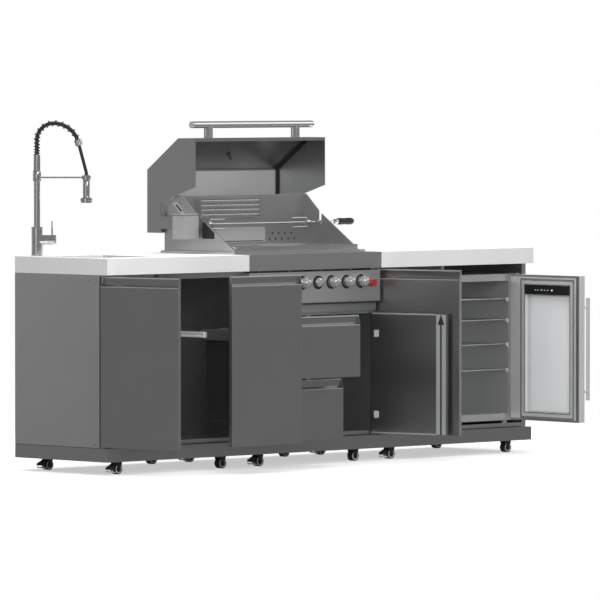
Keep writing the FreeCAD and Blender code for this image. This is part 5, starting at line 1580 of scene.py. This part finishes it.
@dataclass
class Motor:
    """Ribs, a lid seam and a slotted tab on the rotisserie motor, and a thin black plate beside it that is
    painted shadow.
    """

    left: float = 737.0
    right: float = 827.0
    front: float = 315.0
    back: float = 383.0
    foot: float = 917.0
    top: float = 1025.0
    pitch: float = 20.0
    rib: float = 9.0
    proud: float = 1.2
    margin: float = 8.0
    sunk: float = 0.4
    seam_width: float = 2.0
    seam_edge: float = 0.3
    tab: Flat = (752.0, 770.0)
    tab_side: Outline = ((322.0, 1024.0), (348.0, 1024.0), (396.0, 1066.0), (392.0, 1074.0),
                         (366.0, 1074.0))
    slot_side: Outline = ((338.0, 1036.0), (350.0, 1036.0), (382.0, 1064.0), (370.0, 1064.0))
    slot_depths: Flat = (-0.5, 0.3)
    # A thin black plate on the side plate by the motor: painted shadow.
    shade_plate: Flat = (852.0, 853.3)
    shade_plate_side: Outline = ((244.0, 917.0), (318.0, 917.0), (318.0, 990.0), (300.0, 983.0),
                            (244.0, 943.0))

    def ribs(self) -> Form:
        """The ribs of the front and of the left side.

        Returns:
            The form.
        """
        form = Form()
        low, high = self.foot + self.margin, self.top - 2.0 * self.margin
        across = self.left + self.margin
        while across < self.right - self.margin:
            form.block((across, self.front - self.proud, low),
                       (across + self.rib, self.front + self.sunk, high))
            across += self.pitch
        back = self.front + self.margin
        while back < self.back - self.margin:
            form.block((self.left - self.proud, back, low), (self.left + self.sunk, back + self.rib, high))
            back += self.pitch
        return form

    def seam(self) -> Form:
        """The dark joint of the lid.

        Returns:
            The form.
        """
        height = self.top - self.margin
        return Form().block((self.left - self.sunk, self.front - self.sunk, height),
                            (self.right + self.seam_edge, self.back + self.sunk, height + self.seam_width))

    def build(self) -> None:
        """Builds the trims."""
        self.ribs().place("motor_ribs", Finish.TRIM, edge=0.6)
        Form().prism(self.tab_side, *self.tab, Axis.ACROSS).place("motor_tab", Finish.SHINE, edge=0.8)
        near, far = (self.tab[0] + depth for depth in self.slot_depths)
        Form().prism(self.slot_side, near, far, Axis.ACROSS).place("motor_tab_slot", Finish.RUBBER)
        # The black plate beside the motor is painted shadow.
        shade_plate = Form().prism(self.shade_plate_side, *self.shade_plate, Axis.ACROSS)
        shade_plate.place("motor_shadow_plate", Finish.BLACK, edge=0.3)
        self.seam().place("motor_seam", Finish.RUBBER)


@dataclass
class FireboxTrim:
    """What shows on the back wall: the ribs of the infrared burner, the lamp cover, vents and screws."""

    wall: float = 440.0
    burner: Flat = (943.4, 1291.6)
    burner_floor: float = 424.0
    burner_front: float = 418.4
    first_slot: float = 1008.0
    slot_pitch: float = 20.25
    slot_height: float = 14.25
    slot_gap: float = 0.3
    slots: int = 4
    sunk: float = 0.4
    lamp_low: Flat = (1036.0, 893.0)
    lamp_high: Flat = (1337.0, 959.0)
    lamp_front: float = 432.0
    lamp_corner: float = 6.0
    lamp_proud: float = 1.2
    lamp_slot: Flat = (10.0, 4.0)
    lamp_slot_height: float = 3.5
    lamp_slot_depths: Flat = (1.5, 1.0)
    plates: Flat = (853.0, 1593.0)
    plate_edges: tuple[tuple[Flat, Flat], ...] = (((118.0, 861.1), (337.0, 1011.7)),
                                                  ((361.0, 1030.8), (436.0, 1098.2)))
    edge_width: float = 2.4
    plate_sheet: float = 4.0
    wall_top: float = 1100.0
    vents: Outline = ((1372.0, 905.0), (1410.0, 905.0), (1448.0, 905.0), (1486.0, 905.0), (1524.0, 905.0),
                      (1391.0, 930.0), (1429.0, 930.0), (1467.0, 930.0), (1505.0, 930.0))
    screws: Outline = ((880.0, 1080.0), (880.0, 980.0), (1340.0, 1080.0), (1340.0, 1010.0), (1560.0, 1080.0),
                       (1560.0, 960.0), (1400.0, 1030.0), (1480.0, 1060.0))
    vent: Flat = (5.0, 0.4)
    screw: Flat = (4.0, 1.6)
    back_ends: Flat = (4.5, 0.5)
    back_depths: Flat = (0.7, 0.2)
    back_drops: Flat = (0.6, 0.4)

    def ribs(self) -> Form:
        """The bulging ribs in the slots of the burner.

        Returns:
            The form.
        """
        form = Form()
        depth = self.burner_floor - self.burner_front
        height = self.slot_height - 2.0 * self.slot_gap
        for index in range(self.slots):
            foot = self.first_slot + index * self.slot_pitch + self.slot_gap
            bulge = [(self.burner_floor - depth * math.sin(math.pi * step / 8), foot + height * step / 8)
                     for step in range(9)]
            bed = self.burner_floor + self.slot_gap
            form.prism([(bed, foot)] + bulge + [(bed, foot + height)], *self.burner, Axis.ACROSS)
        return form

    def edges(self) -> Form:
        """The bright cut edges of the side plates and of the back wall.

        Returns:
            The form.
        """
        form = Form()
        for start in self.plates:
            for near, far in self.plate_edges:
                ahead = (Vector(far) - Vector(near)).normalized()
                out = Vector((-ahead.y, ahead.x))
                outline = [Vector(near) + out * self.sunk, Vector(far) + out * self.sunk,
                           Vector(far) - out * self.edge_width, Vector(near) - out * self.edge_width]
                form.prism([(corner.x, corner.y) for corner in outline], start - self.sunk,
                           start + self.plate_sheet + self.sunk, Axis.ACROSS)
        form.block((self.plates[0] + self.back_ends[0], self.wall - self.back_depths[0],
                    self.wall_top - self.edge_width - self.back_drops[0]),
                   (self.plates[1] - self.back_ends[1], self.wall + self.back_depths[1],
                    self.wall_top - self.back_drops[1]))
        return form

    def lamp(self) -> Form:
        """The cover of the lamp.

        Returns:
            The form.
        """
        return Form().prism(rounded(self.lamp_low[0], self.lamp_high[0], self.lamp_low[1],
                                    self.lamp_high[1], self.lamp_corner),
                            self.lamp_front - self.lamp_proud, self.lamp_front + self.sunk, Axis.BACK)

    def dots(self, places: Sequence[Flat], radius: float, proud: float) -> Form:
        """Small discs on the wall.

        Args:
            places: Their middles, across and up.
            radius: Their radius.
            proud: How far they stand out.

        Returns:
            The form.
        """
        form = Form()
        for across, up in places:
            form.turn([(0.0, -proud), (0.7 * radius, -proud), (radius, -0.3 * proud), (radius, self.sunk),
                       (0.0, self.sunk)], (across, self.wall, up), Axis.BACK, 16)
        return form

    def build(self) -> None:
        """Builds the trims."""
        self.edges().place("firebox_edges", Finish.SHINE, edge=0.3)
        self.ribs().place("infrared_ribs", Finish.BRIGHT)
        self.lamp().place("lamp_cover", Finish.LAMP, edge=0.4)
        inset, rise = self.lamp_slot
        front, back = (self.lamp_front - depth for depth in self.lamp_slot_depths)
        low = self.lamp_low[1] + rise
        slot = Form().block((self.lamp_low[0] + inset, front, low),
                            (self.lamp_high[0] - inset, back, low + self.lamp_slot_height))
        slot.place("lamp_slot", Finish.RUBBER)
        self.dots(self.vents, *self.vent).place("wall_vents", Finish.RUBBER)
        self.dots(self.screws, *self.screw).place("wall_screws", Finish.BRIGHT)


@dataclass
class HoodTrim:
    """The hood's handle with fluted posts, a black strip of painted shade along the seam in the inner corner
    of its right side, and a lighter sheet of painted light inside.
    """

    bar_back: float = 37.0
    bar_height: float = 920.0
    bar_radius: float = 15.0
    ends: Flat = (860.0, 1590.0)
    posts: Flat = (963.0, 1487.0)
    post_radius: float = 19.5
    post_end: float = 95.0
    flutes: int = 18
    flute_depth: float = 1.6
    # The black strip along the inner corner is painted shade along the seam of the hood's back and its right
    # side.
    corner_shade_outer: Outline = ((98.6, 973.0), (233.8, 1164.4), (501.4, 1164.4))
    corner_shade_inner: Outline = ((501.4, 1155.0), (238.0, 1155.0), (106.0, 967.0))
    corner_shade_side: Flat = (1605.0, 1613.8)
    bar_end: Outline = ((1.5, 0.0), (0.0, 1.5), (0.0, 7.0), (0.9, 8.0), (0.9, 9.5), (0.0, 10.5))
    # A lighter sheet over the inside of the hood: painted light on its inner face.
    lit_sheet_low: Point = (838.0, 242.0, 1164.0)
    lit_sheet_high: Point = (1604.0, 496.0, 1165.2)

    def bar(self) -> Form:
        """The bar with a groove behind each end.

        Returns:
            The form.
        """
        start, end = self.ends
        half = [(0.0, start)] + [(self.bar_radius - drop, start + along) for drop, along in self.bar_end]
        profile = half + [(out, start + end - along) for out, along in reversed(half)]
        return Form().turn(profile, (0.0, self.bar_back, self.bar_height), Axis.ACROSS, 48)

    def fluted(self) -> Form:
        """The two posts.

        Returns:
            The form.
        """
        form = Form()
        for across in self.posts:
            outline = []
            for step in range(2 * self.flutes):
                radius = self.post_radius - (self.flute_depth if step % 2 else 0.0)
                x, z = on_circle(radius, step / (2 * self.flutes))
                outline.append((across + x, self.bar_height + z))
            form.prism(outline, self.bar_back, self.post_end, Axis.BACK)
        return form

    def build(self) -> None:
        """Builds the handle, replacing its node, the black strip of painted shade in the corner and the
        lighter sheet of painted light.
        """
        self.bar().place("hood_bar", Finish.SHINE, HOOD, replaces=("hood_handle",))
        self.fluted().place("hood_posts", Finish.BRIGHT, HOOD, smooth=20.0)
        # A black strip in the inner corner: painted shade along the seam.
        shade_strip = Form().prism([*self.corner_shade_outer, *self.corner_shade_inner], *self.corner_shade_side, Axis.ACROSS)
        shade_strip.place("hood_corner_shade", Finish.RUBBER, HOOD, edge=0.6)
        # The lighter sheet inside the hood is painted light.
        liner = Form().block(self.lit_sheet_low, self.lit_sheet_high)
        liner.place("hood_painted_light_sheet", Finish.DOOR, HOOD, edge=0.3)


@dataclass
class Controls:
    """The knobs, the igniter, the black rings of painted shadow and the bright rims round them, and the lines
    of the panel and the tray, with a black strip of painted shade under the panel.
    """

    face: float = 5.0
    height: float = 728.0
    knobs: tuple[tuple[str, float], ...] = (("one", 1145.0), ("two", 1320.0), ("three", 1412.0),
                                            ("four", 1499.0))
    igniter: float = 1240.0
    left: float = 830.0
    right: float = 1620.0
    foot: float = 635.0
    dome: Outline = ((0.0, -43.5), (7.0, -43.2), (13.0, -41.0), (18.0, -37.0), (21.8, -31.0),
                     (23.8, -24.5), (24.0, -19.5), (23.0, -13.0), (20.0, -6.5), (15.0, -2.0),
                     (12.0, 0.0), (12.0, 4.3), (5.0, 4.3), (5.0, 43.0), (0.0, 43.0))
    index: Outline = ((-42.8, 7.0), (-41.0, 13.0), (-37.0, 18.0), (-31.0, 21.8))
    index_radius: float = 1.0
    cap: Outline = ((0.0, -17.0), (13.0, -17.0), (15.0, -16.0), (15.0, -12.0), (17.5, -11.0),
                    (17.5, -8.0), (19.0, -7.0), (19.0, 20.0), (0.0, 20.0))
    # seat: the black ring round each knob and the igniter, a painted shadow.
    seat: Point = (20.0, 30.0, 3.6)
    rim: Point = (30.3, 33.0, 1.6)
    sunk: float = 0.3
    inset: float = 1.0
    tray_left: float = 834.0
    tray_right: float = 1616.0
    tray_face: float = 27.0
    tray_foot: float = 600.0
    tray_top: float = 632.0
    # A black strip under the panel, painted as the shade of the gap over the tray.
    shade_strip: tuple[Flat, Flat] = ((-0.5, -1.0), (4.0, 5.0))
    fold: Flat = (6.0, 9.5)
    fold_proud: float = 1.0
    tray_fold: float = 3.0
    tray_fold_proud: float = 1.2
    tray_fold_drop: float = 4.0

    def knob(self, name: str, across: float) -> None:
        """Builds one domed knob on its stem, replacing its node, with its index line.

        Args:
            name: The number of its burner.
            across: Where it is.
        """
        pose = Pose(f"burner_knob_{name}")
        made = Form().turn(self.dome, (across, 0.0, self.height), Axis.BACK, 48)
        made.place(f"knob_{name}", Finish.POLISHED, pose, slot=Slot.POLISHED,
                   replaces=(f"burner_knob_{name}",), smooth=50.0)
        path = [Vector((across, back, self.height + up)) for back, up in self.index]
        Form().sweep(path, self.index_radius, 6).place(f"knob_{name}_index", Finish.RUBBER, pose)

    def button(self) -> Form:
        """The igniter's button with a step near its end."""
        return Form().turn(self.cap, (self.igniter, 0.0, self.height), Axis.BACK, 40)

    def rings(self, inner: float, outer: float, proud: float) -> Form:
        """A ring round each knob and round the igniter.

        Args:
            inner: Its inner radius.
            outer: Its outer radius.
            proud: How far it stands out of the panel.

        Returns:
            The form.
        """
        form = Form()
        for across in [place for _, place in self.knobs] + [self.igniter]:
            near, far = self.face - proud, self.face + self.sunk
            profile = [(inner, near), (outer, near), (outer, far), (inner, far), (inner, near)]
            form.turn(profile, (across, 0.0, self.height), Axis.BACK, 48)
        return form

    def lines(self) -> None:
        """A black strip of painted shade under the panel, and the folded edges of the panel and the tray
        front.
        """
        left, right = self.left + self.inset, self.right - self.inset
        near, far = ((self.face + back, self.foot + up) for back, up in self.shade_strip)
        # A black strip painted as shade under the panel.
        shade_strip = Form().block((left, *near), (right, *far))
        shade_strip.place("panel_shade_strip", Finish.RUBBER, edge=0.3)
        edge = Form().block((left, self.face - self.fold_proud, self.foot + self.fold[0]),
                            (right, self.face + self.sunk, self.foot + self.fold[1]))
        edge.place("panel_edge", Finish.LIGHT, edge=0.4)
        left, right = self.tray_left + self.inset, self.tray_right - self.inset
        for name, low in (("top", self.tray_top - self.tray_fold_drop),
                          ("foot", self.tray_foot + self.inset)):
            edge = Form().block((left, self.tray_face - self.tray_fold_proud, low),
                                (right, self.tray_face + self.sunk, low + self.tray_fold))
            edge.place(f"tray_{name}_edge", Finish.LIGHT, TRAY, edge=0.4)

    def build(self) -> None:
        """Builds all of them."""
        for name, across in self.knobs:
            self.knob(name, across)
        self.button().place("igniter_cap", Finish.POLISHED, Pose("igniter_button"), slot=Slot.POLISHED,
                            replaces=("igniter_button",))
        # Black rings round the knobs and the igniter: painted shadow; the bright rims lie over them.
        self.rings(*self.seat).place("knob_shadow_rings", Finish.RUBBER, edge=0.4)
        self.rings(*self.rim).place("knob_rims", Finish.POLISHED, edge=0.4)
        self.lines()


# The fridge, and the trims of the panels.


@dataclass
class FridgeDoor:
    """The fridge door: a framed slab, its inner frame and gasket, the control strip and the bar handle."""

    left: float = 2062.0
    right: float = 2500.0
    face: float = 11.0
    back: float = 45.0
    foot: float = 93.0
    top: float = 737.0
    pane_left: float = 2122.0
    pane_right: float = 2408.0
    pane_foot: float = 131.0
    pane_top: float = 650.0
    strip_top: float = 692.0
    frame: float = 18.0
    frame_ends: float = 8.0
    frame_inset: float = 2.0
    frame_sunk: float = 0.5
    sunk: float = 0.4
    gasket: Point = (20.0, 9.0, 1.4)
    pane_bead: Point = (0.0, 5.0, 1.0)
    frame_proud: float = 1.6
    bar: Flat = (2088.0, -34.0)
    bar_ends: Flat = (189.0, 639.0)
    bar_radius: float = 9.0
    bar_end: Outline = ((1.0, 0.0), (0.0, 1.0), (0.0, 12.0), (0.8, 12.8), (0.8, 14.4), (0.0, 15.2))
    post_seat: Outline = ((0.0, -3.0), (3.0, -1.5), (3.0, 0.4))
    post_heights: Flat = (228.0, 600.0)
    post_radius: float = 6.0
    marks: Outline = ((2235.0, 3.4), (2262.0, 2.0), (2282.0, 2.0), (2302.0, 2.6), (2326.0, 1.8),
                      (2340.0, 1.8))
    mark_wide: float = 1.6
    mark_round: float = 0.8
    mark_depths: Flat = (0.7, 1.1)
    strip_over: float = 2.0
    strip_gap: float = 1.0
    strip_depths: Flat = (1.0, 0.8)

    def around(self, inset: float, wide: float, proud: float) -> Form:
        """A flat frame round the pane's opening.

        Args:
            inset: How far its inner side lies outside the pane.
            wide: Its width.
            proud: How far it stands out of the door's back.

        Returns:
            The form.
        """
        form = Form()
        left, right = self.pane_left - inset, self.pane_right + inset
        low, high = self.pane_foot - inset, self.strip_top + inset
        start, end = self.back - self.sunk, self.back + proud
        form.block((left - wide, start, low - wide), (left, end, high + wide))
        form.block((right, start, low - wide), (right + wide, end, high + wide))
        form.block((left, start, low - wide), (right, end, low))
        form.block((left, start, high), (right, end, high + wide))
        return form

    def strip(self) -> Form:
        """The black control strip over the pane.

        Returns:
            The form.
        """
        sunk, proud = self.strip_depths
        low = (self.pane_left - self.strip_over, self.back - sunk, self.pane_top + self.strip_gap)
        return Form().block(low, (self.pane_right + self.strip_over, self.back + proud, self.strip_top))

    def signs(self) -> Form:
        """Small light marks on the strip: two bars and dots, without any writing.

        Returns:
            The form.
        """
        form = Form()
        middle = (self.pane_top + self.strip_top) / 2.0
        start, end = (self.back + depth for depth in self.mark_depths)
        for across, half in self.marks:
            wide = self.mark_wide * half
            form.prism(rounded(across - wide, across + wide, middle - half, middle + half,
                               self.mark_round * half), start, end, Axis.BACK)
        return form

    def handle(self) -> Form:
        """The bar with its end rings, and its two posts.

        Returns:
            The form.
        """
        low, high = self.bar_ends
        radius = self.bar_radius
        half = [(0.0, low)] + [(radius - drop, low + along) for drop, along in self.bar_end]
        form = Form().turn(half + [(out, low + high - along) for out, along in reversed(half)],
                           (*self.bar, 0.0), Axis.UP, 32)
        for height in self.post_heights:
            seat = [(self.post_radius + out, self.face + along) for out, along in self.post_seat]
            form.turn([(0.0, self.bar[1]), (self.post_radius, self.bar[1]), *seat, (0.0, seat[-1][1])],
                      (self.bar[0], 0.0, height), Axis.BACK, 24)
        return form

    def rim(self) -> Form:
        """The frame of the inner side: one wide upright and a strip along the foot and the top.

        Returns:
            The form.
        """
        front, back = self.back - self.frame_sunk, self.back + self.frame_proud
        near, far = self.left + self.frame, self.right - self.frame_inset
        form = Form().block((self.left, front, self.foot), (near, back, self.top))
        form.block((near, front, self.foot), (far, back, self.foot + self.frame_ends))
        return form.block((near, front, self.top - self.frame_ends), (far, back, self.top))

    def build(self) -> None:
        """Builds the trims of the door."""
        self.rim().place("fridge_door_rim", Finish.LIGHT, FRIDGE_DOOR, edge=0.6, slot=Slot.FRIDGE)
        self.around(*self.gasket).place("fridge_gasket", Finish.GASKET, FRIDGE_DOOR, edge=0.5,
                                        slot=Slot.RUBBER)
        self.around(*self.pane_bead).place("fridge_pane_bead", Finish.LIGHT, FRIDGE_DOOR, edge=0.4,
                                           slot=Slot.FRIDGE)
        self.strip().place("fridge_strip", Finish.STRIP, FRIDGE_DOOR, edge=0.3, slot=Slot.PLASTIC)
        self.signs().place("fridge_strip_marks", Finish.MARKS, FRIDGE_DOOR, slot=Slot.PLASTIC)
        self.handle().place("fridge_bar_rings", Finish.BRIGHT, FRIDGE_DOOR, slot=Slot.FRIDGE)


@dataclass
class FridgeInside:
    """The pressed liner of the fridge cabinet, and pale brackets at the racks' ends that hold a painted
    glint.
    """

    left: float = 2062.0
    right: float = 2500.0
    front: float = 48.0
    foot: float = 89.0
    top: float = 738.0
    wall: float = 30.0
    back: float = 468.0
    shelves: tuple[float, ...] = (626.0, 533.0, 425.0, 312.0)
    ridges: int = 5
    ridge: Outline = ((-14.0, 0.3), (-11.0, -1.6), (11.0, -1.6), (14.0, 0.3))
    ridge_inset: float = 20.0
    # clip: the outline of a pale bracket, which stands as a painted glint at the rack's end.
    clip: Outline = ((-9.0, 0.6), (0.2, -14.0), (0.2, 7.0), (-9.0, 7.0))
    glint_depths: Flat = (3.0, 9.5)

    def liner(self) -> Form:
        """Shallow upright ridges pressed into the back of the liner.

        Returns:
            The form.
        """
        form = Form()
        inner_left, inner_right = self.left + self.wall, self.right - self.wall
        for index in range(self.ridges):
            middle = inner_left + (inner_right - inner_left) * (index + 0.5) / self.ridges
            form.prism([(middle + across, self.back + depth) for across, depth in self.ridge],
                       self.foot + self.wall + self.ridge_inset, self.top - self.wall - self.ridge_inset)
        return form

    def bracket_glints(self) -> Form:
        """A pale bracket at the front right corner of each rack, a painted glint at the rack's end.

        Returns:
            The form.
        """
        form = Form()
        inner = self.right - self.wall
        start, end = (self.front + depth for depth in self.glint_depths)
        for shelf in self.shelves:
            form.prism([(inner + across, shelf + up) for across, up in self.clip], start, end, Axis.BACK)
        return form

    def build(self) -> None:
        """Builds the trims."""
        self.liner().place("fridge_liner_ridges", Finish.LINER, edge=0.4, slot=Slot.FRIDGE)
        self.bracket_glints().place("fridge_rack_bracket_glints", Finish.PALE, edge=0.4, slot=Slot.FRIDGE)


@dataclass
class PanelTrim:
    """Fasteners of the left side, and the line over the plinth."""

    side_screws: Outline = ((517.0, 760.0), (111.0, 759.0), (556.0, 72.0), (72.0, 74.0))
    radius: float = 4.2
    proud: float = 0.8
    sunk: float = 0.3
    cross: Flat = (2.2, 0.5)
    cross_depths: Flat = (-0.06, 0.1)
    seam: float = 58.0
    seam_half: float = 1.0
    seam_reach: Flat = (3.0, 572.0)

    def screws(self) -> Form:
        """Low round heads with a cross slot each.

        Returns:
            The form.
        """
        form = Form()
        for back, up in self.side_screws:
            form.turn([(0.0, -self.proud), (0.5 * self.radius, -self.proud), (self.radius, self.sunk),
                       (0.0, self.sunk)], (0.0, back, up), Axis.ACROSS, 20)
        return form

    def slots(self) -> Form:
        """The dark cross slots of the heads.

        Returns:
            The form.
        """
        form = Form()
        long, thin = self.cross
        near, far = (depth - self.proud for depth in self.cross_depths)
        for back, up in self.side_screws:
            form.block((near, back - long, up - thin), (far, back + long, up + thin))
            form.block((near, back - thin, up - long), (far, back + thin, up + long))
        return form

    def build(self) -> None:
        """Builds the trims."""
        self.screws().place("side_screws", Finish.GASKET)
        self.slots().place("side_screw_slots", Finish.RUBBER)
        start, end = self.seam_reach
        line = Form().block((-self.sunk, start, self.seam - self.seam_half),
                            (self.sunk, end, self.seam + self.seam_half))
        line.place("plinth_joint", Finish.RUBBER)


@dataclass
class BackTrim:
    """The back, which the photograph hides: the modules' joints, the panels' screws and the vent slots."""

    face: float = 575.0
    seams: Flat = (826.0, 1624.0)
    levels: Flat = (62.0, 780.0)
    modules: Outline = ((0.0, 826.0), (826.0, 1624.0), (1624.0, 2580.0))
    inset: float = 24.0
    rows: tuple[float, ...] = (84.0, 421.0, 758.0)
    radius: float = 4.2
    proud: float = 0.8
    sunk: float = 0.4
    edge: float = 0.3
    seam_half: float = 0.8
    vents: Outline = ((1345.0, 150.0), (2120.0, 150.0), (2120.0, 560.0))
    slots: int = 7
    slot: Flat = (130.0, 5.0)
    pitch: float = 16.0

    def joints(self) -> Form:
        """The dark joints between the modules.

        Returns:
            The form.
        """
        form = Form()
        for across in self.seams:
            form.block((across - self.seam_half, self.face - self.sunk, self.levels[0]),
                       (across + self.seam_half, self.face + self.edge, self.levels[1]))
        return form

    def heads(self) -> Form:
        """Low round heads along the rims of the three panels.

        Returns:
            The form.
        """
        form = Form()
        for left, right in self.modules:
            for across in (left + self.inset, (left + right) / 2.0, right - self.inset):
                for up in self.rows:
                    form.turn([(0.0, self.proud), (0.5 * self.radius, self.proud), (self.radius, -self.edge),
                               (0.0, -self.edge)], (across, self.face, up), Axis.BACK, 20)
        return form

    def openings(self) -> Form:
        """The vent slots of the gas compartment and of the fridge.

        Returns:
            The form.
        """
        form = Form()
        half, height = self.slot[0] / 2.0, self.slot[1]
        for across, foot in self.vents:
            for index in range(self.slots):
                low = foot + index * self.pitch
                form.prism(rounded(across - half, across + half, low, low + height, height / 2.0),
                           self.face - self.sunk, self.face + self.edge, Axis.BACK)
        return form

    def build(self) -> None:
        """Builds the trims."""
        self.joints().place("back_joints", Finish.RUBBER)
        self.heads().place("back_screws", Finish.GASKET)
        self.openings().place("back_vents", Finish.RUBBER)


ASSEMBLIES = (
    FoldedFront("sink_door", SINK_DOOR, 3.0, 408.0, pin_across=9.0),
    FoldedFront("fridge_side_door", SIDE_DOOR, 1632.0, 2058.0, pin_across=1638.0),
    WastePullOut(),
    Drawer("upper_drawer", UPPER, 332.0, 595.0),
    Drawer("lower_drawer", LOWER, 62.0, 320.0),
    GasDoor(),
    Casters(),
    Tap(),
    Spit(),
    Motor(),
    FireboxTrim(),
    HoodTrim(),
    Controls(),
    FridgeDoor(),
    FridgeInside(),
    PanelTrim(),
    BackTrim(),
)


@dataclass
class Carried:
    """The CAD nodes that keep their shape and get a finish here."""

    edge: float = 0.8
    sharp: float = 40.0
    finishes: tuple[tuple[Finish, tuple[str, ...]], ...] = (
        (Finish.STEEL, ("plinth",)),
        (Finish.HOOD, ("hood_shell",)),
        (Finish.LIGHT, ("grill_fascia", "firebox", "drip_tray")),
        (Finish.PANEL, ("control_panel",)),
        (Finish.TRIM, ("rotisserie_motor",)),
        (Finish.DOOR, ("fridge_door",)),
        (Finish.UPRIGHT, ("sink_cabinet", "grill_cabinet", "fridge_cabinet")),
        (Finish.STONE, ("sink_worktop", "fridge_worktop")),
        (Finish.BRIGHT, ("sink_bowl", "hinge_pins", "grill_burners", "cooking_grates")),
        (Finish.COIL, ("thermometer",)),
        (Finish.SHINE, ("fridge_shelves",)),
        (Finish.INNER, ("fridge_body",)),
        (Finish.GLASS, ("fridge_door_glass",)),
        (Finish.RED, ("rear_burner_knob",)),
    )

    def dress(self) -> None:
        """Gives every node that is still shown its finish; the others are rubber wheels and zinc parts."""
        known = {node: finish for finish, nodes in self.finishes for node in nodes}
        for name, made in frame["nodes"].items():
            finish = known.get(name, Finish.RUBBER if name.endswith("wheel") else Finish.ZINC)
            made.data.materials.clear()
            made.data.materials.append(material(finish))
            soften(made, self.edge, self.sharp)


# The studio.


@dataclass(frozen=True)
class Lamp:
    """A soft rectangular lamp: its size is in metres, its power in watts."""

    name: str
    place: Point
    aim: Point
    size: Flat
    power: float
    mirrored: bool = True

    def build(self) -> None:
        """Hangs the lamp up; polished metal shows it if it is mirrored."""
        data = bpy.data.lights.new(self.name, "AREA")
        data.shape = "RECTANGLE"
        data.size, data.size_y = self.size
        data.energy = self.power
        made = bpy.data.objects.new(self.name, data)
        here = site() @ (Vector(self.place) * MM)
        there = site() @ (Vector(self.aim) * MM)
        made.location = here
        made.rotation_euler = (there - here).to_track_quat("-Z", "Y").to_euler()
        made.visible_glossy = self.mirrored
        bpy.context.scene.collection.objects.link(made)


@dataclass
class Studio:
    """Camera, floor and light."""

    place: Point = (-19294.0, -20842.0, 1641.0)
    yaw: float = 44.417
    dip: float = 1.936
    lens: float = 407.94
    sensor: float = 36.0
    sight: float = 200.0
    middle: Point = (1290.0, 120.0, -55.0)
    floor_radius: float = 5200.0
    floor_rings: int = 24
    fade_start: float = 1600.0
    fade: Flat = (0.5, 0.0)
    paper: Flat = (0.95, 0.98)
    paper_size: float = 6.0
    roughness: float = 0.9
    white: Colour = (1.0, 1.0, 1.0)
    surround: float = 0.2
    lamps: tuple[Lamp, ...] = (
        Lamp("front", (-2600.0, -6200.0, 2600.0), (1290.0, 100.0, 500.0), (4.0, 3.0), 470.0, False),
        Lamp("glint", (-1500.0, -6000.0, 3400.0), (1290.0, 100.0, 700.0), (1.6, 1.6), 40.0),
        Lamp("card", (-3000.0, 7000.0, 1500.0), (300.0, 200.0, 500.0), (5.0, 4.0), 11.0),
        Lamp("high", (6900.0, -4000.0, 5000.0), (1290.0, 200.0, 1000.0), (5.0, 4.0), 60.0),
        Lamp("right_edge", (8200.0, -900.0, 1200.0), (1290.0, 300.0, 700.0), (1.0, 4.0), 30.0),
        Lamp("left_edge", (-6300.0, -2500.0, 1200.0), (1290.0, 300.0, 700.0), (0.8, 4.0), 18.0),
        Lamp("top", (1290.0, 600.0, 5200.0), (1290.0, 300.0, 0.0), (7.0, 5.0), 620.0, False),
    )

    def camera(self) -> None:
        """Sets up the camera of the photograph."""
        data = bpy.data.cameras.new("camera")
        data.lens = self.lens
        data.sensor_width = self.sensor
        data.clip_end = self.sight
        made = bpy.data.objects.new("camera", data)
        made.location = site() @ (Vector(self.place) * MM)
        made.rotation_euler = (math.radians(90.0 - self.dip), 0.0, math.radians(-self.yaw))
        bpy.context.scene.collection.objects.link(made)
        bpy.context.scene.camera = made

    def floor(self) -> None:
        """Lays a pale floor that fades out round the island."""
        rings = [(self.floor_radius * step / self.floor_rings, 0.0) for step in range(self.floor_rings + 1)]
        made = Form().turn(rings, self.middle, Axis.UP, 96).ended("floor", CABINET)
        made.data.materials.append(self.floor_paper())
        made.visible_glossy = False

    def floor_paper(self) -> bpy.types.Material:
        """The floor's material, which thins out from the middle.

        Returns:
            The material.
        """
        recipe = Recipe("studio_floor")
        where = recipe.place(even(1.0))
        middle = tuple(part * MM for part in self.middle)
        away = recipe.add("ShaderNodeVectorMath", {"operation": "DISTANCE"}, {0: where, 1: middle}, "Value")
        fade = recipe.add("ShaderNodeMapRange", {"interpolation_type": "SMOOTHSTEP"},
                          {0: away, 1: self.fade_start * MM, 2: self.floor_radius * MM, 3: self.fade[0],
                           4: self.fade[1]})
        paper = recipe.noise(even(self.paper_size), 3.0)
        dark, bright = (shade(self.white, level) for level in self.paper)
        return recipe.finish(Base_Color=recipe.blend(paper, dark, bright), Roughness=self.roughness,
                             Alpha=fade)

    def world(self) -> None:
        """Sets the surround, which the camera sees as white."""
        world = bpy.data.worlds.new("studio")
        bpy.context.scene.world = world
        world.use_nodes = True
        nodes = Nodes(world.node_tree)
        seen = nodes.add("ShaderNodeLightPath", {}, {}, "Is Camera Ray")
        white = {"Color": shade(self.white, 1.0)}
        surround = nodes.add("ShaderNodeBackground", {}, {**white, "Strength": self.surround})
        backdrop = nodes.add("ShaderNodeBackground", {}, white)
        mixed = nodes.add("ShaderNodeMixShader", {}, {0: seen, 1: surround, 2: backdrop})
        nodes.add("ShaderNodeOutputWorld", {}, {0: mixed})

    def build(self) -> None:
        """Builds all of it."""
        self.camera()
        self.floor()
        for lamp in self.lamps:
            lamp.build()
        self.world()
        bpy.context.scene.view_settings.view_transform = "Standard"


def main() -> None:
    """Builds the scene in order and reports each step."""
    logging.basicConfig(level=logging.INFO, format="%(name)s: %(message)s")
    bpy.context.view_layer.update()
    for assembly in ASSEMBLIES:
        assembly.build()
        LOG.info("built %s", getattr(assembly, "name", type(assembly).__name__))
    Carried().dress()
    LOG.info("dressed the carried nodes")
    Studio().build()
    LOG.info("set the studio")


if __name__ == "__main__":
    main()
